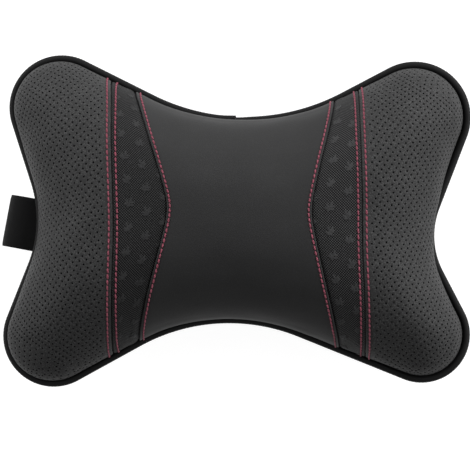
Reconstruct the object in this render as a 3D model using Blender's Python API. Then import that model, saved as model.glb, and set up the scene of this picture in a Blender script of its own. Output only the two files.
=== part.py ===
"""A fibre-filled neck pillow for a car seat, lying on its back.

The pillow has a bone-shaped outline with four round lobes and four waists.
Five leathercloth panels make the crowned front, one sheet makes the back, and a
piped seam joins them. A fibre filling holds the shape. An elastic strap is sewn
into the seam at both side waists, passes under the back and loops out at the
left. Metres; +X is the pillow's right as seen from the front, +Y its top and
+Z its front. The origin is on the floor, at the middle of the footprint.
"""

import math

import bmesh
import bpy
from mathutils import Vector

MM = 0.001

# Outline: the outer edge of the piping, as circles joined by straight tangents.
# Lobes are the circle's centre and radius; the outline passes round them.
UPPER_LEFT_LOBE = (-112.5 * MM, 73.5 * MM, 34.0 * MM)
UPPER_RIGHT_LOBE = (116.0 * MM, 66.0 * MM, 36.0 * MM)
LOWER_LEFT_LOBE = (-117.0 * MM, -74.5 * MM, 33.0 * MM)
LOWER_RIGHT_LOBE = (120.0 * MM, -73.5 * MM, 31.0 * MM)
# Waists are the point where the outline is drawn in most, and the radius there.
TOP_WAIST = (7.5 * MM, 67.0 * MM, 133.0 * MM)
BOTTOM_WAIST = (-3.5 * MM, -66.5 * MM, 118.5 * MM)
LEFT_WAIST = (-128.5 * MM, 0.5 * MM, 76.5 * MM)
RIGHT_WAIST = (128.5 * MM, -10.5 * MM, 49.0 * MM)

# Heights, from the floor to the seam and from the seam to each face.
SEAM_HEIGHT = 38.0 * MM
FRONT_CROWN = 56.0 * MM
FRONT_FULLNESS = (4.5, 2.6)
BACK_FULLNESS = (3.2, 2.3)
BACK_FLAT_SHARE = 0.86

# Sheet goods and the play between pieces that touch.
COVER_THICKNESS = 1.6 * MM
CLEARANCE = 0.3 * MM

# Piping: a cord in a folded strip whose flange is caught in the seam.
PIPING_DIAMETER = 5.0 * MM
PIPING_STRIP_THICKNESS = 0.9 * MM
FLANGE_THICKNESS = 0.8 * MM
PIPING_JOINT_X = 1.0 * MM
BEAD_SIDES = 10
CORD_SIDES = 8
PIPING_TURN_STEP = math.radians(11.0)

# Panel seams on the front, in plan. A straight seam has its middle, its lean and
# the radius to which the filling bows it.
LEFT_STRAIGHT_SEAM = (-73.4 * MM, 0.0, 1200.0 * MM)
RIGHT_STRAIGHT_SEAM = (82.3 * MM, -0.024, 9000.0 * MM)
# A curved seam has its waist, the rounding there and its flare above and below.
LEFT_CURVED_SEAM = (-40.4 * MM, 4.0 * MM, 18.0 * MM, 0.31, 0.27)
RIGHT_CURVED_SEAM = (51.0 * MM, 3.0 * MM, 8.0 * MM, 0.235, 0.235)

# Topstitching thread, lying on the panels beside the seams.
THREAD_DIAMETER = 0.9 * MM
STITCH_OFFSET = 2.6 * MM
STITCH_END_MARGIN = 0.012

# Elastic strap.
STRAP_WIDTH = 34.0 * MM
STRAP_THICKNESS = 1.5 * MM
STRAP_PLAY = 0.5 * MM
STRAP_REACH = 23.0 * MM
STRAP_TILT = math.radians(10.5)
STRAP_LEFT_Y = -4.0 * MM
STRAP_RIGHT_Y = -11.0 * MM
STRAP_RIGHT_SLOPE = 0.04

# How finely the cover and the strap are divided.
ROWS = 20
ROW_GRADING = 0.55
RIM_GRADING = 1.45
COLUMNS_ACROSS_STRAP = 5
LOOP_STEPS = 10
FLAT_STEPS = 7
RISE_STEPS = 22
RISE_GRADING = 3
BISECTION_STEPS = 40

RIM_INSET = PIPING_DIAMETER + CLEARANCE
RIM_LIFT = FLANGE_THICKNESS / 2 + CLEARANCE
BACK_DEPTH = SEAM_HEIGHT - STRAP_THICKNESS - STRAP_PLAY


def clear_scene():
    for obj in list(bpy.data.objects):
        bpy.data.objects.remove(obj, do_unlink=True)


def material(name, colour, roughness):
    """A plain Principled material, with no metal in it."""
    made = bpy.data.materials.new(name)
    made.use_nodes = True
    shader = made.node_tree.nodes["Principled BSDF"]
    shader.inputs["Base Color"].default_value = (*colour, 1.0)
    shader.inputs["Roughness"].default_value = roughness
    shader.inputs["Metallic"].default_value = 0.0
    made.diffuse_color = (*colour, 1.0)
    return made


def add_object(name, data, finish):
    obj = bpy.data.objects.new(name, data)
    bpy.context.scene.collection.objects.link(obj)
    obj.data.materials.append(finish)
    return obj


def root_where(function, low, high):
    """The value between low and high at which a rising function is zero."""
    for _ in range(BISECTION_STEPS):
        middle = (low + high) / 2
        if function(middle) < 0:
            low = middle
        else:
            high = middle
    return (low + high) / 2


def waist_circle(apex_x, apex_y, radius, outward_x, outward_y):
    """Centre and signed radius of a waist's circle, which lies outside the outline."""
    return (apex_x + outward_x * radius, apex_y + outward_y * radius, -radius)


def outline_circles():
    """Anticlockwise from the right waist. A waist's radius is negative."""
    return [
        waist_circle(*RIGHT_WAIST, 1, 0),
        UPPER_RIGHT_LOBE,
        waist_circle(*TOP_WAIST, 0, 1),
        UPPER_LEFT_LOBE,
        waist_circle(*LEFT_WAIST, -1, 0),
        LOWER_LEFT_LOBE,
        waist_circle(*BOTTOM_WAIST, 0, -1),
        LOWER_RIGHT_LOBE,
    ]


def inward(heading):
    """Unit vector to the left of a heading, which points into the pillow."""
    return Vector((-math.sin(heading), math.cos(heading)))


def tangent_headings(circles):
    """Heading of the straight that leaves each circle for the next one."""
    headings = []
    for here, there in zip(circles, circles[1:] + circles[:1]):
        across = Vector(there[:2]) - Vector(here[:2])
        bearing = math.atan2(across.y, across.x)
        headings.append(bearing - math.asin((there[2] - here[2]) / across.length))
    return headings


def turn_between(first, last, signed_radius):
    """Angle turned round a circle: to the left on a lobe, to the right on a waist."""
    turn = (last - first + math.pi) % (2 * math.pi) - math.pi
    if signed_radius > 0 and turn < 0:
        turn += 2 * math.pi
    if signed_radius < 0 and turn > 0:
        turn -= 2 * math.pi
    return turn


class Arc:
    def __init__(self, circle, first, turn):
        self.centre, self.radius = Vector(circle[:2]), circle[2]
        self.first, self.turn = first, turn
        self.length = abs(circle[2] * turn)

    def at(self, share):
        """Point and inward normal at a share of the arc's length."""
        normal = inward(self.first + self.turn * share)
        return self.centre - self.radius * normal, normal

    def split(self, share):
        circle = (*self.centre, self.radius)
        middle = self.first + self.turn * share
        return (
            Arc(circle, self.first, self.turn * share),
            Arc(circle, middle, self.turn * (1 - share)),
        )


class Straight:
    turn = 0.0

    def __init__(self, start, end, normal):
        self.start, self.end, self.normal = start, end, normal
        self.length = (end - start).length

    def at(self, share):
        return self.start.lerp(self.end, share), self.normal


class Chain:
    """Spans end to end, read by the share of their whole length."""

    def __init__(self, spans):
        self.spans = spans
        self.length = sum(span.length for span in spans)

    def at(self, share):
        distance = share * self.length
        for span in self.spans[:-1]:
            if distance <= span.length:
                return span.at(distance / span.length)
            distance -= span.length
        return self.spans[-1].at(min(1.0, distance / self.spans[-1].length))


def outline_spans():
    """An arc and the straight after it for each circle, in the circles' order."""
    circles = outline_circles()
    headings = tangent_headings(circles)
    arcs = [
        Arc(circle, headings[k - 1], turn_between(headings[k - 1], headings[k], circle[2]))
        for k, circle in enumerate(circles)
    ]
    straights = []
    for k, arc in enumerate(arcs):
        following = arcs[(k + 1) % len(arcs)]
        straights.append(Straight(arc.at(1)[0], following.at(0)[0], inward(headings[k])))
    return arcs, straights


def outline_sides():
    """The outline cut at the middle of each lobe into right, top, left and bottom."""
    arcs, straights = outline_spans()
    halves = [arc.split(0.5) for arc in arcs]
    sides = []
    for waist in (0, 2, 4, 6):
        before, after = (waist - 1) % 8, (waist + 1) % 8
        sides.append(
            Chain(
                [
                    halves[before][1],
                    straights[before],
                    arcs[waist],
                    straights[waist],
                    halves[after][0],
                ]
            )
        )
    return sides


RIGHT_SIDE, TOP_SIDE, LEFT_SIDE, BOTTOM_SIDE = outline_sides()


def side_point(side, share, inset):
    point, normal = side.at(share)
    return point + inset * normal


def plan_point(u, v, inset):
    """Point in plan: u runs left to right and v bottom to top, blended from the sides."""
    right = side_point(RIGHT_SIDE, v, inset)
    top = side_point(TOP_SIDE, 1 - u, inset)
    left = side_point(LEFT_SIDE, 1 - v, inset)
    bottom = side_point(BOTTOM_SIDE, u, inset)
    lower_left = side_point(BOTTOM_SIDE, 0, inset)
    lower_right = side_point(BOTTOM_SIDE, 1, inset)
    upper_left = side_point(TOP_SIDE, 1, inset)
    upper_right = side_point(TOP_SIDE, 0, inset)
    across = left.lerp(right, u)
    along = bottom.lerp(top, v)
    corners = lower_left.lerp(lower_right, u).lerp(upper_left.lerp(upper_right, u), v)
    return across + along - corners


def crown(u, v, fullness):
    """Share of the full height: 0 at the seam, with a round shoulder, and 1 in the middle."""
    across = 1 - abs(2 * u - 1) ** fullness[0]
    along = 1 - abs(2 * v - 1) ** fullness[1]
    return math.sqrt(max(0.0, across * along))


def front_point(u, v, depth=0.0):
    """Point on the front, or at a depth under it."""
    plan = plan_point(u, v, RIM_INSET + depth)
    height = (FRONT_CROWN - RIM_LIFT - depth) * crown(u, v, FRONT_FULLNESS)
    return Vector((plan.x, plan.y, SEAM_HEIGHT + RIM_LIFT + height))


def back_point(u, v, depth=0.0):
    """Point on the back, which is pressed flat where the pillow lies on it."""
    plan = plan_point(u, v, RIM_INSET + depth)
    share = min(1.0, crown(u, v, BACK_FULLNESS) / BACK_FLAT_SHARE)
    drop = (BACK_DEPTH - RIM_LIFT - depth) * math.sin(share * math.pi / 2)
    return Vector((plan.x, plan.y, SEAM_HEIGHT - RIM_LIFT - drop))


def outward_normal(surface, u, v, step=1e-4):
    """Unit normal of front_point or back_point, away from the filling."""
    low_u, high_u = max(0.0, u - step), min(1.0, u + step)
    low_v, high_v = max(0.0, v - step), min(1.0, v + step)
    along_u = surface(high_u, v) - surface(low_u, v)
    along_v = surface(u, high_v) - surface(u, low_v)
    normal = along_u.cross(along_v).normalized()
    return normal if surface is front_point else -normal


def straight_seam(middle, lean, bow_radius):
    """Seam that leans by a slope and bows away from the pillow's middle."""

    def x_at(y):
        bow = y * y / (2 * bow_radius)
        return middle + lean * y + math.copysign(bow, middle)

    return x_at


def curved_seam(waist_x, waist_y, rounding, flare_up, flare_down):
    """Seam whose flanks flare away from the pillow's middle, rounded at the waist."""

    def x_at(y):
        above = y - waist_y
        flare = flare_up if above > 0 else flare_down
        spread = flare * (math.hypot(above, rounding) - rounding)
        return waist_x + math.copysign(spread, waist_x)

    return x_at


SEAMS = {
    "left_straight": straight_seam(*LEFT_STRAIGHT_SEAM),
    "left_curve": curved_seam(*LEFT_CURVED_SEAM),
    "right_curve": curved_seam(*RIGHT_CURVED_SEAM),
    "right_straight": straight_seam(*RIGHT_STRAIGHT_SEAM),
}

# Each panel between its left and right edges, where None is the piped rim.
PANELS = [
    ("left_perforated_panel", None, "left_straight", 7),
    ("left_embossed_panel", "left_straight", "left_curve", 3),
    ("centre_panel", "left_curve", "right_curve", 8),
    ("right_embossed_panel", "right_curve", "right_straight", 3),
    ("right_perforated_panel", "right_straight", None, 7),
]


def seam_u(seam, v, offset=0.0):
    """u at which row v meets a seam, or the line at an offset to its right."""

    def beyond(u):
        plan = plan_point(u, v, RIM_INSET)
        return plan.x - SEAMS[seam](plan.y) - offset

    return root_where(beyond, 0.0, 1.0)


def panel_shares(left, right, columns):
    """Shares across a panel for its columns, closer together at the rim."""
    even = [k / columns for k in range(columns + 1)]
    if left is None:
        return [share**RIM_GRADING for share in even]
    if right is None:
        return [1 - (1 - share) ** RIM_GRADING for share in even]
    return even


def row_v(row):
    """v of a row of the cover, with rows closer together at the rim."""
    even = row / ROWS
    return even + ROW_GRADING * ((1 - math.cos(math.pi * even)) / 2 - even)


def panel_u(panel, v, play):
    """u of each column of one panel in row v, stopping short of its seams by play."""
    _, left, right, columns = panel
    low = 0.0 if left is None else seam_u(left, v, play)
    high = 1.0 if right is None else seam_u(right, v, -play)
    return [low + (high - low) * share for share in panel_shares(left, right, columns)]


def cover_u(v):
    """u of every column of the whole cover in row v."""
    across = [0.0]
    for panel in PANELS:
        across += panel_u(panel, v, 0.0)[1:]
    return across


def placed_grid(bm, columns, rows, place):
    """Adds a grid whose vertex in column i and row j goes to place(i, j)."""
    made = bmesh.ops.create_grid(bm, x_segments=columns, y_segments=rows, size=0.5)
    verts = {}
    for vert in made["verts"]:
        column = round((vert.co.x + 0.5) * columns)
        row = round((vert.co.y + 0.5) * rows)
        vert.co = place(column, row)
        verts[column, row] = vert
    return verts


def rim_of(columns, rows):
    """Column and row of every vertex round a grid's rim, in order."""
    low = [(column, 0) for column in range(columns)]
    right = [(columns, row) for row in range(rows)]
    high = [(column, rows) for column in range(columns, 0, -1)]
    left = [(0, row) for row in range(rows, 0, -1)]
    return low + right + high + left


def closed_between(name, columns, rows, outer, inner, finish):
    """A closed solid between two placed grids, joined round their rims."""
    bm = bmesh.new()
    outer_verts = placed_grid(bm, columns, rows, outer)
    inner_verts = placed_grid(bm, columns, rows, inner)
    rim = rim_of(columns, rows)
    for here, there in zip(rim, rim[1:] + rim[:1]):
        corners = outer_verts[here], outer_verts[there], inner_verts[there], inner_verts[here]
        bm.faces.new(corners)
    bmesh.ops.recalc_face_normals(bm, faces=bm.faces)
    mesh = bpy.data.meshes.new(name)
    bm.to_mesh(mesh)
    bm.free()
    mesh.shade_smooth()
    mesh.set_sharp_from_angle(angle=math.radians(50))
    return add_object(name, mesh, finish)


def front_panel(panel, finish):
    """One leathercloth panel of the front, short of its seams by half the clearance."""
    name, _, _, columns = panel
    rows_u = [panel_u(panel, row_v(row), CLEARANCE / 2) for row in range(ROWS + 1)]

    def outer(column, row):
        return front_point(rows_u[row][column], row_v(row))

    def inner(column, row):
        return front_point(rows_u[row][column], row_v(row), COVER_THICKNESS)

    return closed_between(name, columns, ROWS, outer, inner, finish)


def back_cover(finish):
    """The back: one sheet, from rim to rim."""
    rows_u = [cover_u(row_v(row)) for row in range(ROWS + 1)]

    def outer(column, row):
        return back_point(rows_u[row][column], row_v(row))

    def inner(column, row):
        return back_point(rows_u[row][column], row_v(row), COVER_THICKNESS)

    return closed_between("back_cover", len(rows_u[0]) - 1, ROWS, outer, inner, finish)


def fibre_filling(finish):
    """The filling, which reaches to the inside of the covers."""
    rows_u = [cover_u(row_v(row)) for row in range(ROWS + 1)]
    depth = COVER_THICKNESS + CLEARANCE

    def front(column, row):
        return front_point(rows_u[row][column], row_v(row), depth)

    def back(column, row):
        return back_point(rows_u[row][column], row_v(row), depth)

    return closed_between("fibre_filling", len(rows_u[0]) - 1, ROWS, front, back, finish)


def piping_stations():
    """Outline points and normals right round from the joint at the top waist."""
    arcs, straights = outline_spans()
    joint = root_where(lambda share: PIPING_JOINT_X - arcs[2].at(share)[0].x, 0.0, 1.0)
    after_joint, before_joint = arcs[2].split(joint)[::-1]
    order = [after_joint, straights[2]]
    for k in (3, 4, 5, 6, 7, 0, 1):
        order += [arcs[k], straights[k]]
    order.append(before_joint)
    stations = [order[0].at(0)]
    for span in order:
        steps = max(1, math.ceil(abs(span.turn) / PIPING_TURN_STEP))
        stations += [span.at((k + 1) / steps) for k in range(steps)]
    end_point, end_normal = stations[-1]
    along = Vector((end_normal.y, -end_normal.x))
    stations[-1] = (end_point - CLEARANCE * along, end_normal)
    return stations


def ring(bm, station, section):
    """Adds a section's points at a station; a point is (inset, height above the seam)."""
    point, normal = station
    verts = []
    for inset, height in section:
        plan = point + inset * normal
        verts.append(bm.verts.new((plan.x, plan.y, SEAM_HEIGHT + height)))
    return verts


def round_section(radius, sides, first_angle=0.0):
    """Points round the bead's centre, from the side that faces the pillow."""
    sweep = 2 * (math.pi - first_angle)
    count = sides if first_angle == 0.0 else sides - 1
    angles = [first_angle + sweep * k / count for k in range(sides)]
    middle = PIPING_DIAMETER / 2
    return [(middle + radius * math.cos(a), radius * math.sin(a)) for a in angles]


def swept(bm, stations, section):
    """Sweeps a closed section along the stations and returns its two end rings."""
    rings = [ring(bm, station, section) for station in stations]
    count = len(section)
    for here, there in zip(rings, rings[1:]):
        for k in range(count):
            after = (k + 1) % count
            bm.faces.new((here[k], here[after], there[after], there[k]))
    return rings[0], rings[-1]


def loop_edges(bm, verts):
    return [bm.edges.get((a, b)) for a, b in zip(verts, verts[1:] + verts[:1])]


def piping_part(name, sections, finish):
    """A solid swept along the piping, with one section inside another if it is a tube."""
    bm = bmesh.new()
    ends = [swept(bm, piping_stations(), section) for section in sections]
    for end in (0, 1):
        edges = [edge for rings in ends for edge in loop_edges(bm, rings[end])]
        bmesh.ops.triangle_fill(bm, use_beauty=True, edges=edges)
    bmesh.ops.recalc_face_normals(bm, faces=bm.faces)
    mesh = bpy.data.meshes.new(name)
    bm.to_mesh(mesh)
    bm.free()
    mesh.shade_smooth()
    mesh.set_sharp_from_angle(angle=math.radians(50))
    return add_object(name, mesh, finish)


def piping_cover(finish):
    """The folded strip: a tube round the cord, and the flange that the seam catches."""
    bead = PIPING_DIAMETER / 2
    bore = bead - PIPING_STRIP_THICKNESS
    half = FLANGE_THICKNESS / 2
    flange_end = RIM_INSET + COVER_THICKNESS / 2
    outside = round_section(bead, BEAD_SIDES, math.asin(half / bead))
    outside = [(flange_end, half)] + outside + [(flange_end, -half)]
    return piping_part("piping_cover", [outside, round_section(bore, CORD_SIDES)], finish)


def piping_cord(finish):
    radius = PIPING_DIAMETER / 2 - PIPING_STRIP_THICKNESS - CLEARANCE
    return piping_part("piping_cord", [round_section(radius, CORD_SIDES)], finish)


def stitch_row(name, seam, offset, finish):
    """Topstitching thread, beside a seam at an offset, from one rim to the other."""
    lift = THREAD_DIAMETER / 2 + CLEARANCE
    stations = [STITCH_END_MARGIN] + [row_v(row) for row in range(1, ROWS)]
    stations.append(1 - STITCH_END_MARGIN)
    curve = bpy.data.curves.new(name, "CURVE")
    curve.dimensions = "3D"
    curve.bevel_depth = THREAD_DIAMETER / 2
    curve.bevel_resolution = 1
    curve.use_fill_caps = True
    spline = curve.splines.new("POLY")
    spline.points.add(len(stations) - 1)
    for point, v in zip(spline.points, stations):
        u = seam_u(seam, v, offset)
        place = front_point(u, v) + lift * outward_normal(front_point, u, v)
        point.co = (*place, 1.0)
    return add_object(name, curve, finish)


def strap_heading():
    """Unit vectors along the strap where it leaves the left seam, and across it."""
    along = Vector((-math.cos(STRAP_TILT), math.sin(STRAP_TILT)))
    return along, Vector((along.y, -along.x))


def strap_anchor():
    """Middle of the strap's left end, on the seam line."""
    v = root_where(lambda v: plan_point(0, v, RIM_INSET).y - STRAP_LEFT_Y, 0.0, 1.0)
    return plan_point(0, v, RIM_INSET)


def loop_radius():
    """Radius of the strap's loop, from its lower stretch up to under the piping."""
    top = SEAM_HEIGHT - PIPING_DIAMETER / 2 - CLEARANCE - STRAP_THICKNESS / 2
    return (top - STRAP_THICKNESS / 2) / 2


def loop_start():
    """Point in plan where the strap begins to turn down."""
    straight = RIM_INSET + STRAP_REACH - loop_radius() - STRAP_THICKNESS / 2
    return strap_anchor() + straight * strap_heading()[0]


def strap_y(x):
    """Middle of the strap under the pillow: a cubic from the loop to the right waist."""
    start, along = loop_start(), strap_heading()[0]
    span = plan_point(1, 0.5, RIM_INSET).x - start.x
    t = min(1.0, max(0.0, (x - start.x) / span))
    leaving = span * along.y / along.x
    arriving = span * STRAP_RIGHT_SLOPE
    return (
        (2 * t**3 - 3 * t**2 + 1) * start.y
        + (t**3 - 2 * t**2 + t) * leaving
        + (3 * t**2 - 2 * t**3) * STRAP_RIGHT_Y
        + (t**3 - t**2) * arriving
    )


def strap_loop_line(w):
    """Points and outward normals at w across the strap, from the left seam round its loop."""
    along, across = strap_heading()
    anchor, radius = strap_anchor(), loop_radius()
    middle = STRAP_THICKNESS / 2 + radius

    def beyond(v):
        return (plan_point(0, v, RIM_INSET - CLEARANCE) - anchor).dot(across) - w

    end = plan_point(0, root_where(beyond, 0.0, 1.0), RIM_INSET - CLEARANCE)
    line = [(Vector((*end, middle + radius)), Vector((0, 0, 1)))]
    for step in range(LOOP_STEPS + 1):
        angle = math.pi * step / LOOP_STEPS
        outward = Vector((*(math.sin(angle) * along), math.cos(angle)))
        centre = loop_start() + w * across
        line.append((Vector((*centre, middle)) + radius * outward, outward))
    return line


def strap_flat_line(w, end_x):
    """Points under the pillow at w across the strap, from the loop to end_x."""
    across = strap_heading()[1]
    start = loop_start() + w * across
    line = []
    for step in range(1, FLAT_STEPS):
        share = step / FLAT_STEPS
        x = start.x + (end_x - start.x) * share
        y = strap_y(x) + w * (across.y * (1 - share) + share)
        line.append((Vector((x, y, STRAP_THICKNESS / 2)), Vector((0, 0, -1))))
    return line


def strap_rise_line(w, first_x):
    """Points on the back at w across the strap, from first_x up to the right piping."""
    lift = STRAP_PLAY + STRAP_THICKNESS / 2
    top = SEAM_HEIGHT - PIPING_DIAMETER / 2 - 2 * CLEARANCE

    def v_on_back(u):
        def beyond(v):
            plan = plan_point(u, v, RIM_INSET)
            return plan.y - strap_y(plan.x) - w

        return root_where(beyond, 0.0, 1.0)

    def plan_x(u):
        return plan_point(u, v_on_back(u), RIM_INSET).x

    first_u = root_where(lambda u: plan_x(u) - first_x, 0.0, 1.0)
    last_u = root_where(lambda u: back_point(u, v_on_back(u)).z - top, 0.5, 1.0)
    line = []
    for step in range(RISE_STEPS + 1):
        u = last_u - (last_u - first_u) * (1 - step / RISE_STEPS) ** RISE_GRADING
        v = v_on_back(u)
        normal = outward_normal(back_point, u, v)
        line.append((back_point(u, v) + lift * normal, normal))
    return line


def elastic_strap(finish):
    """Woven elastic, from under the left piping, round its loop, to the right piping."""
    rise_from = (RIGHT_WAIST[0] + LEFT_WAIST[0]) / 2
    lines = []
    for column in range(COLUMNS_ACROSS_STRAP + 1):
        w = STRAP_WIDTH * (column / COLUMNS_ACROSS_STRAP - 0.5)
        line = strap_loop_line(w) + strap_flat_line(w, rise_from)
        lines.append(line + strap_rise_line(w, rise_from))
    half = STRAP_THICKNESS / 2

    def outer(column, row):
        place, normal = lines[column][row]
        return place + half * normal

    def inner(column, row):
        place, normal = lines[column][row]
        return place - half * normal

    rows = len(lines[0]) - 1
    columns = COLUMNS_ACROSS_STRAP
    return closed_between("elastic_strap", columns, rows, outer, inner, finish)


def centre_footprint(objects):
    """Hangs every piece on one empty and centres their common box on the origin."""
    frame = bpy.data.objects.new("pillow_frame", None)
    bpy.context.scene.collection.objects.link(frame)
    bpy.context.view_layer.update()
    corners = [obj.matrix_world @ Vector(c) for obj in objects for c in obj.bound_box]
    for obj in objects:
        obj.parent = frame
    low_x, high_x = min(c.x for c in corners), max(c.x for c in corners)
    low_y, high_y = min(c.y for c in corners), max(c.y for c in corners)
    frame.location = (-(low_x + high_x) / 2, -(low_y + high_y) / 2, 0.0)


def build():
    clear_scene()
    smooth = material("smooth_leathercloth", (0.035, 0.035, 0.037), 0.45)
    perforated = material("perforated_leathercloth", (0.042, 0.042, 0.044), 0.5)
    embossed = material("embossed_leathercloth", (0.026, 0.026, 0.028), 0.55)
    backing = material("back_leathercloth", (0.033, 0.033, 0.035), 0.5)
    strip = material("piping_leathercloth", (0.02, 0.02, 0.021), 0.45)
    cord = material("piping_cord", (0.7, 0.68, 0.62), 0.9)
    fibre = material("polyester_fibre", (0.85, 0.85, 0.83), 0.95)
    elastic = material("woven_elastic", (0.012, 0.012, 0.012), 0.8)
    thread = material("red_thread", (0.36, 0.012, 0.045), 0.6)

    finishes = {"perforated": perforated, "embossed": embossed, "centre": smooth}
    pieces = []
    for panel in PANELS:
        kind = next(word for word in finishes if word in panel[0])
        pieces.append(front_panel(panel, finishes[kind]))
    pieces += [back_cover(backing), fibre_filling(fibre)]
    pieces += [piping_cover(strip), piping_cord(cord)]
    for name, seam, side in (
        ("left_outer_stitching", "left_straight", -1),
        ("left_inner_stitching", "left_straight", 1),
        ("left_curve_stitching", "left_curve", 1),
        ("right_curve_stitching", "right_curve", -1),
        ("right_inner_stitching", "right_straight", -1),
        ("right_outer_stitching", "right_straight", 1),
    ):
        pieces.append(stitch_row(name, seam, side * STITCH_OFFSET, thread))
    pieces.append(elastic_strap(elastic))
    centre_footprint(pieces)


build()
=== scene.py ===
"""A fibre-filled neck pillow for a car seat, dressed for its picture.

Five sewn leathercloth panels make the crowned front, and one sheet makes the back. A
piped seam joins them, red thread topstitches the panels, and an elastic strap loops
out at the left. Metres; +X is the pillow's right, +Y its top and +Z its front.
"""

import math

import bmesh
import bpy
import numpy as np
from mathutils import Matrix, Vector
from mathutils.geometry import delaunay_2d_cdt
from mathutils.kdtree import KDTree


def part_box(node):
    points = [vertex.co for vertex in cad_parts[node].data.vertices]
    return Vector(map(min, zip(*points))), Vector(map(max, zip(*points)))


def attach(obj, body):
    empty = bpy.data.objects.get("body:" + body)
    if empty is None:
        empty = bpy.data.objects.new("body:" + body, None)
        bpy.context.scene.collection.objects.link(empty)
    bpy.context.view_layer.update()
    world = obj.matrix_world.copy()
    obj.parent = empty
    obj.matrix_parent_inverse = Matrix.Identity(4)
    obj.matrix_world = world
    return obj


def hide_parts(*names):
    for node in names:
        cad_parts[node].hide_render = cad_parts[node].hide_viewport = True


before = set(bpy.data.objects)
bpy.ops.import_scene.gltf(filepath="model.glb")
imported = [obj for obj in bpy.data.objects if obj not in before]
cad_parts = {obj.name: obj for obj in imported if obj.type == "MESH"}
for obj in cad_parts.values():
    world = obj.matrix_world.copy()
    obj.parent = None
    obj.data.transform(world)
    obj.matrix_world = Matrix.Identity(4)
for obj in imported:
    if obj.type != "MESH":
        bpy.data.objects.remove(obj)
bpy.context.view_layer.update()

MM = 0.001

# The stuffed form. The pattern is cut as four round lobes and four waists, and the
# fibre swells it. Every panel, seam and thread lies on the two surfaces below, which
# are worked out from the outline, the seam's height and the crown of the CAD panels.

UPPER_LEFT_LOBE = (-112.5 * MM, 73.5 * MM, 34.0 * MM)
UPPER_RIGHT_LOBE = (116.0 * MM, 66.0 * MM, 36.0 * MM)
LOWER_LEFT_LOBE = (-117.0 * MM, -74.5 * MM, 33.0 * MM)
LOWER_RIGHT_LOBE = (120.0 * MM, -73.5 * MM, 31.0 * MM)
TOP_WAIST = (7.5 * MM, 67.0 * MM, 133.0 * MM)
BOTTOM_WAIST = (-3.5 * MM, -66.5 * MM, 118.5 * MM)
LEFT_WAIST = (-128.5 * MM, 0.5 * MM, 76.5 * MM)
RIGHT_WAIST = (128.5 * MM, -10.5 * MM, 49.0 * MM)

piping_low, piping_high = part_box("piping_cover")
PIPING_DIAMETER = piping_high.z - piping_low.z
SEAM_HEIGHT = (piping_low.z + piping_high.z) / 2
SETTLING_RISE = 3.2 * MM
FRONT_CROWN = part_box("centre_panel")[1].z - SEAM_HEIGHT - SETTLING_RISE
BACK_DEPTH = SEAM_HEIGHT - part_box("back_cover")[0].z
PLAY = 0.3 * MM
RIM_INSET = PIPING_DIAMETER + PLAY
RIM_LIFT = 0.7 * MM
COVER_THICKNESS = 1.4 * MM
FRONT_FULLNESS = (4.5, 2.25)
BACK_FULLNESS = (3.2, 2.3)
BACK_FLAT_SHARE = 0.86
CURVE_STEP = 0.25 * MM


def waist_circle(apex_x, apex_y, radius, outward_x, outward_y):
    """A waist's circle lies outside the outline, and its radius is negative."""
    return (apex_x + outward_x * radius, apex_y + outward_y * radius, -radius)


OUTLINE_CIRCLES = [
    waist_circle(*RIGHT_WAIST, 1, 0),
    UPPER_RIGHT_LOBE,
    waist_circle(*TOP_WAIST, 0, 1),
    UPPER_LEFT_LOBE,
    waist_circle(*LEFT_WAIST, -1, 0),
    LOWER_LEFT_LOBE,
    waist_circle(*BOTTOM_WAIST, 0, -1),
    LOWER_RIGHT_LOBE,
]


def outline_turns():
    """Heading at which the outline meets each circle, and the angle it turns there."""
    headings = []
    for here, there in zip(OUTLINE_CIRCLES, OUTLINE_CIRCLES[1:] + OUTLINE_CIRCLES[:1]):
        across = (there[0] - here[0], there[1] - here[1])
        bearing = math.atan2(across[1], across[0])
        headings.append(bearing - math.asin((there[2] - here[2]) / math.hypot(*across)))
    turns = []
    for k, circle in enumerate(OUTLINE_CIRCLES):
        turn = (headings[k] - headings[k - 1] + math.pi) % (2 * math.pi) - math.pi
        if circle[2] * turn < 0:
            turn += math.copysign(2 * math.pi, circle[2])
        turns.append((headings[k - 1], turn))
    return turns


def arc_points(k, low, high):
    """Points and inward normals along a share of the outline's arc round circle k."""
    centre_x, centre_y, radius = OUTLINE_CIRCLES[k]
    first, turn = outline_turns()[k]
    count = int(abs(radius * turn * (high - low)) / CURVE_STEP) + 3
    heading = first + turn * np.linspace(low, high, count)
    normal_x, normal_y = -np.sin(heading), np.cos(heading)
    return np.stack(
        [centre_x - radius * normal_x, centre_y - radius * normal_y, normal_x, normal_y],
        axis=1,
    )


def distance_along(points):
    """Distance of each of a path's points from its first."""
    steps = np.linalg.norm(np.diff(points, axis=0), axis=1)
    return np.concatenate([[0], np.cumsum(steps)])


def joined(stretches):
    """Stretches of points joined by straights, with the distance along them."""
    points = stretches[0]
    for stretch in stretches[1:]:
        gap = np.linalg.norm(stretch[0, :2] - points[-1, :2])
        share = np.linspace(0, 1, int(gap / CURVE_STEP) + 2)[1:-1, None]
        straight = points[-1] * (1 - share) + stretch[0] * share
        points = np.vstack([points, straight, stretch])
    return distance_along(points[:, :2]), points


def outline_side(waist):
    """One of the outline's four sides, from the middle of a lobe to the next lobe's."""
    before, after = (waist - 1) % 8, (waist + 1) % 8
    return joined(
        [arc_points(before, 0.5, 1), arc_points(waist, 0, 1), arc_points(after, 0, 0.5)]
    )


RIGHT_SIDE, TOP_SIDE, LEFT_SIDE, BOTTOM_SIDE = (outline_side(k) for k in (0, 2, 4, 6))
whole_outline = np.vstack([side[1] for side in (RIGHT_SIDE, TOP_SIDE, LEFT_SIDE, BOTTOM_SIDE)])
FRAME_SHIFT = np.array(
    [piping_low.x - whole_outline[:, 0].min(), piping_low.y - whole_outline[:, 1].min()]
)


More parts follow.
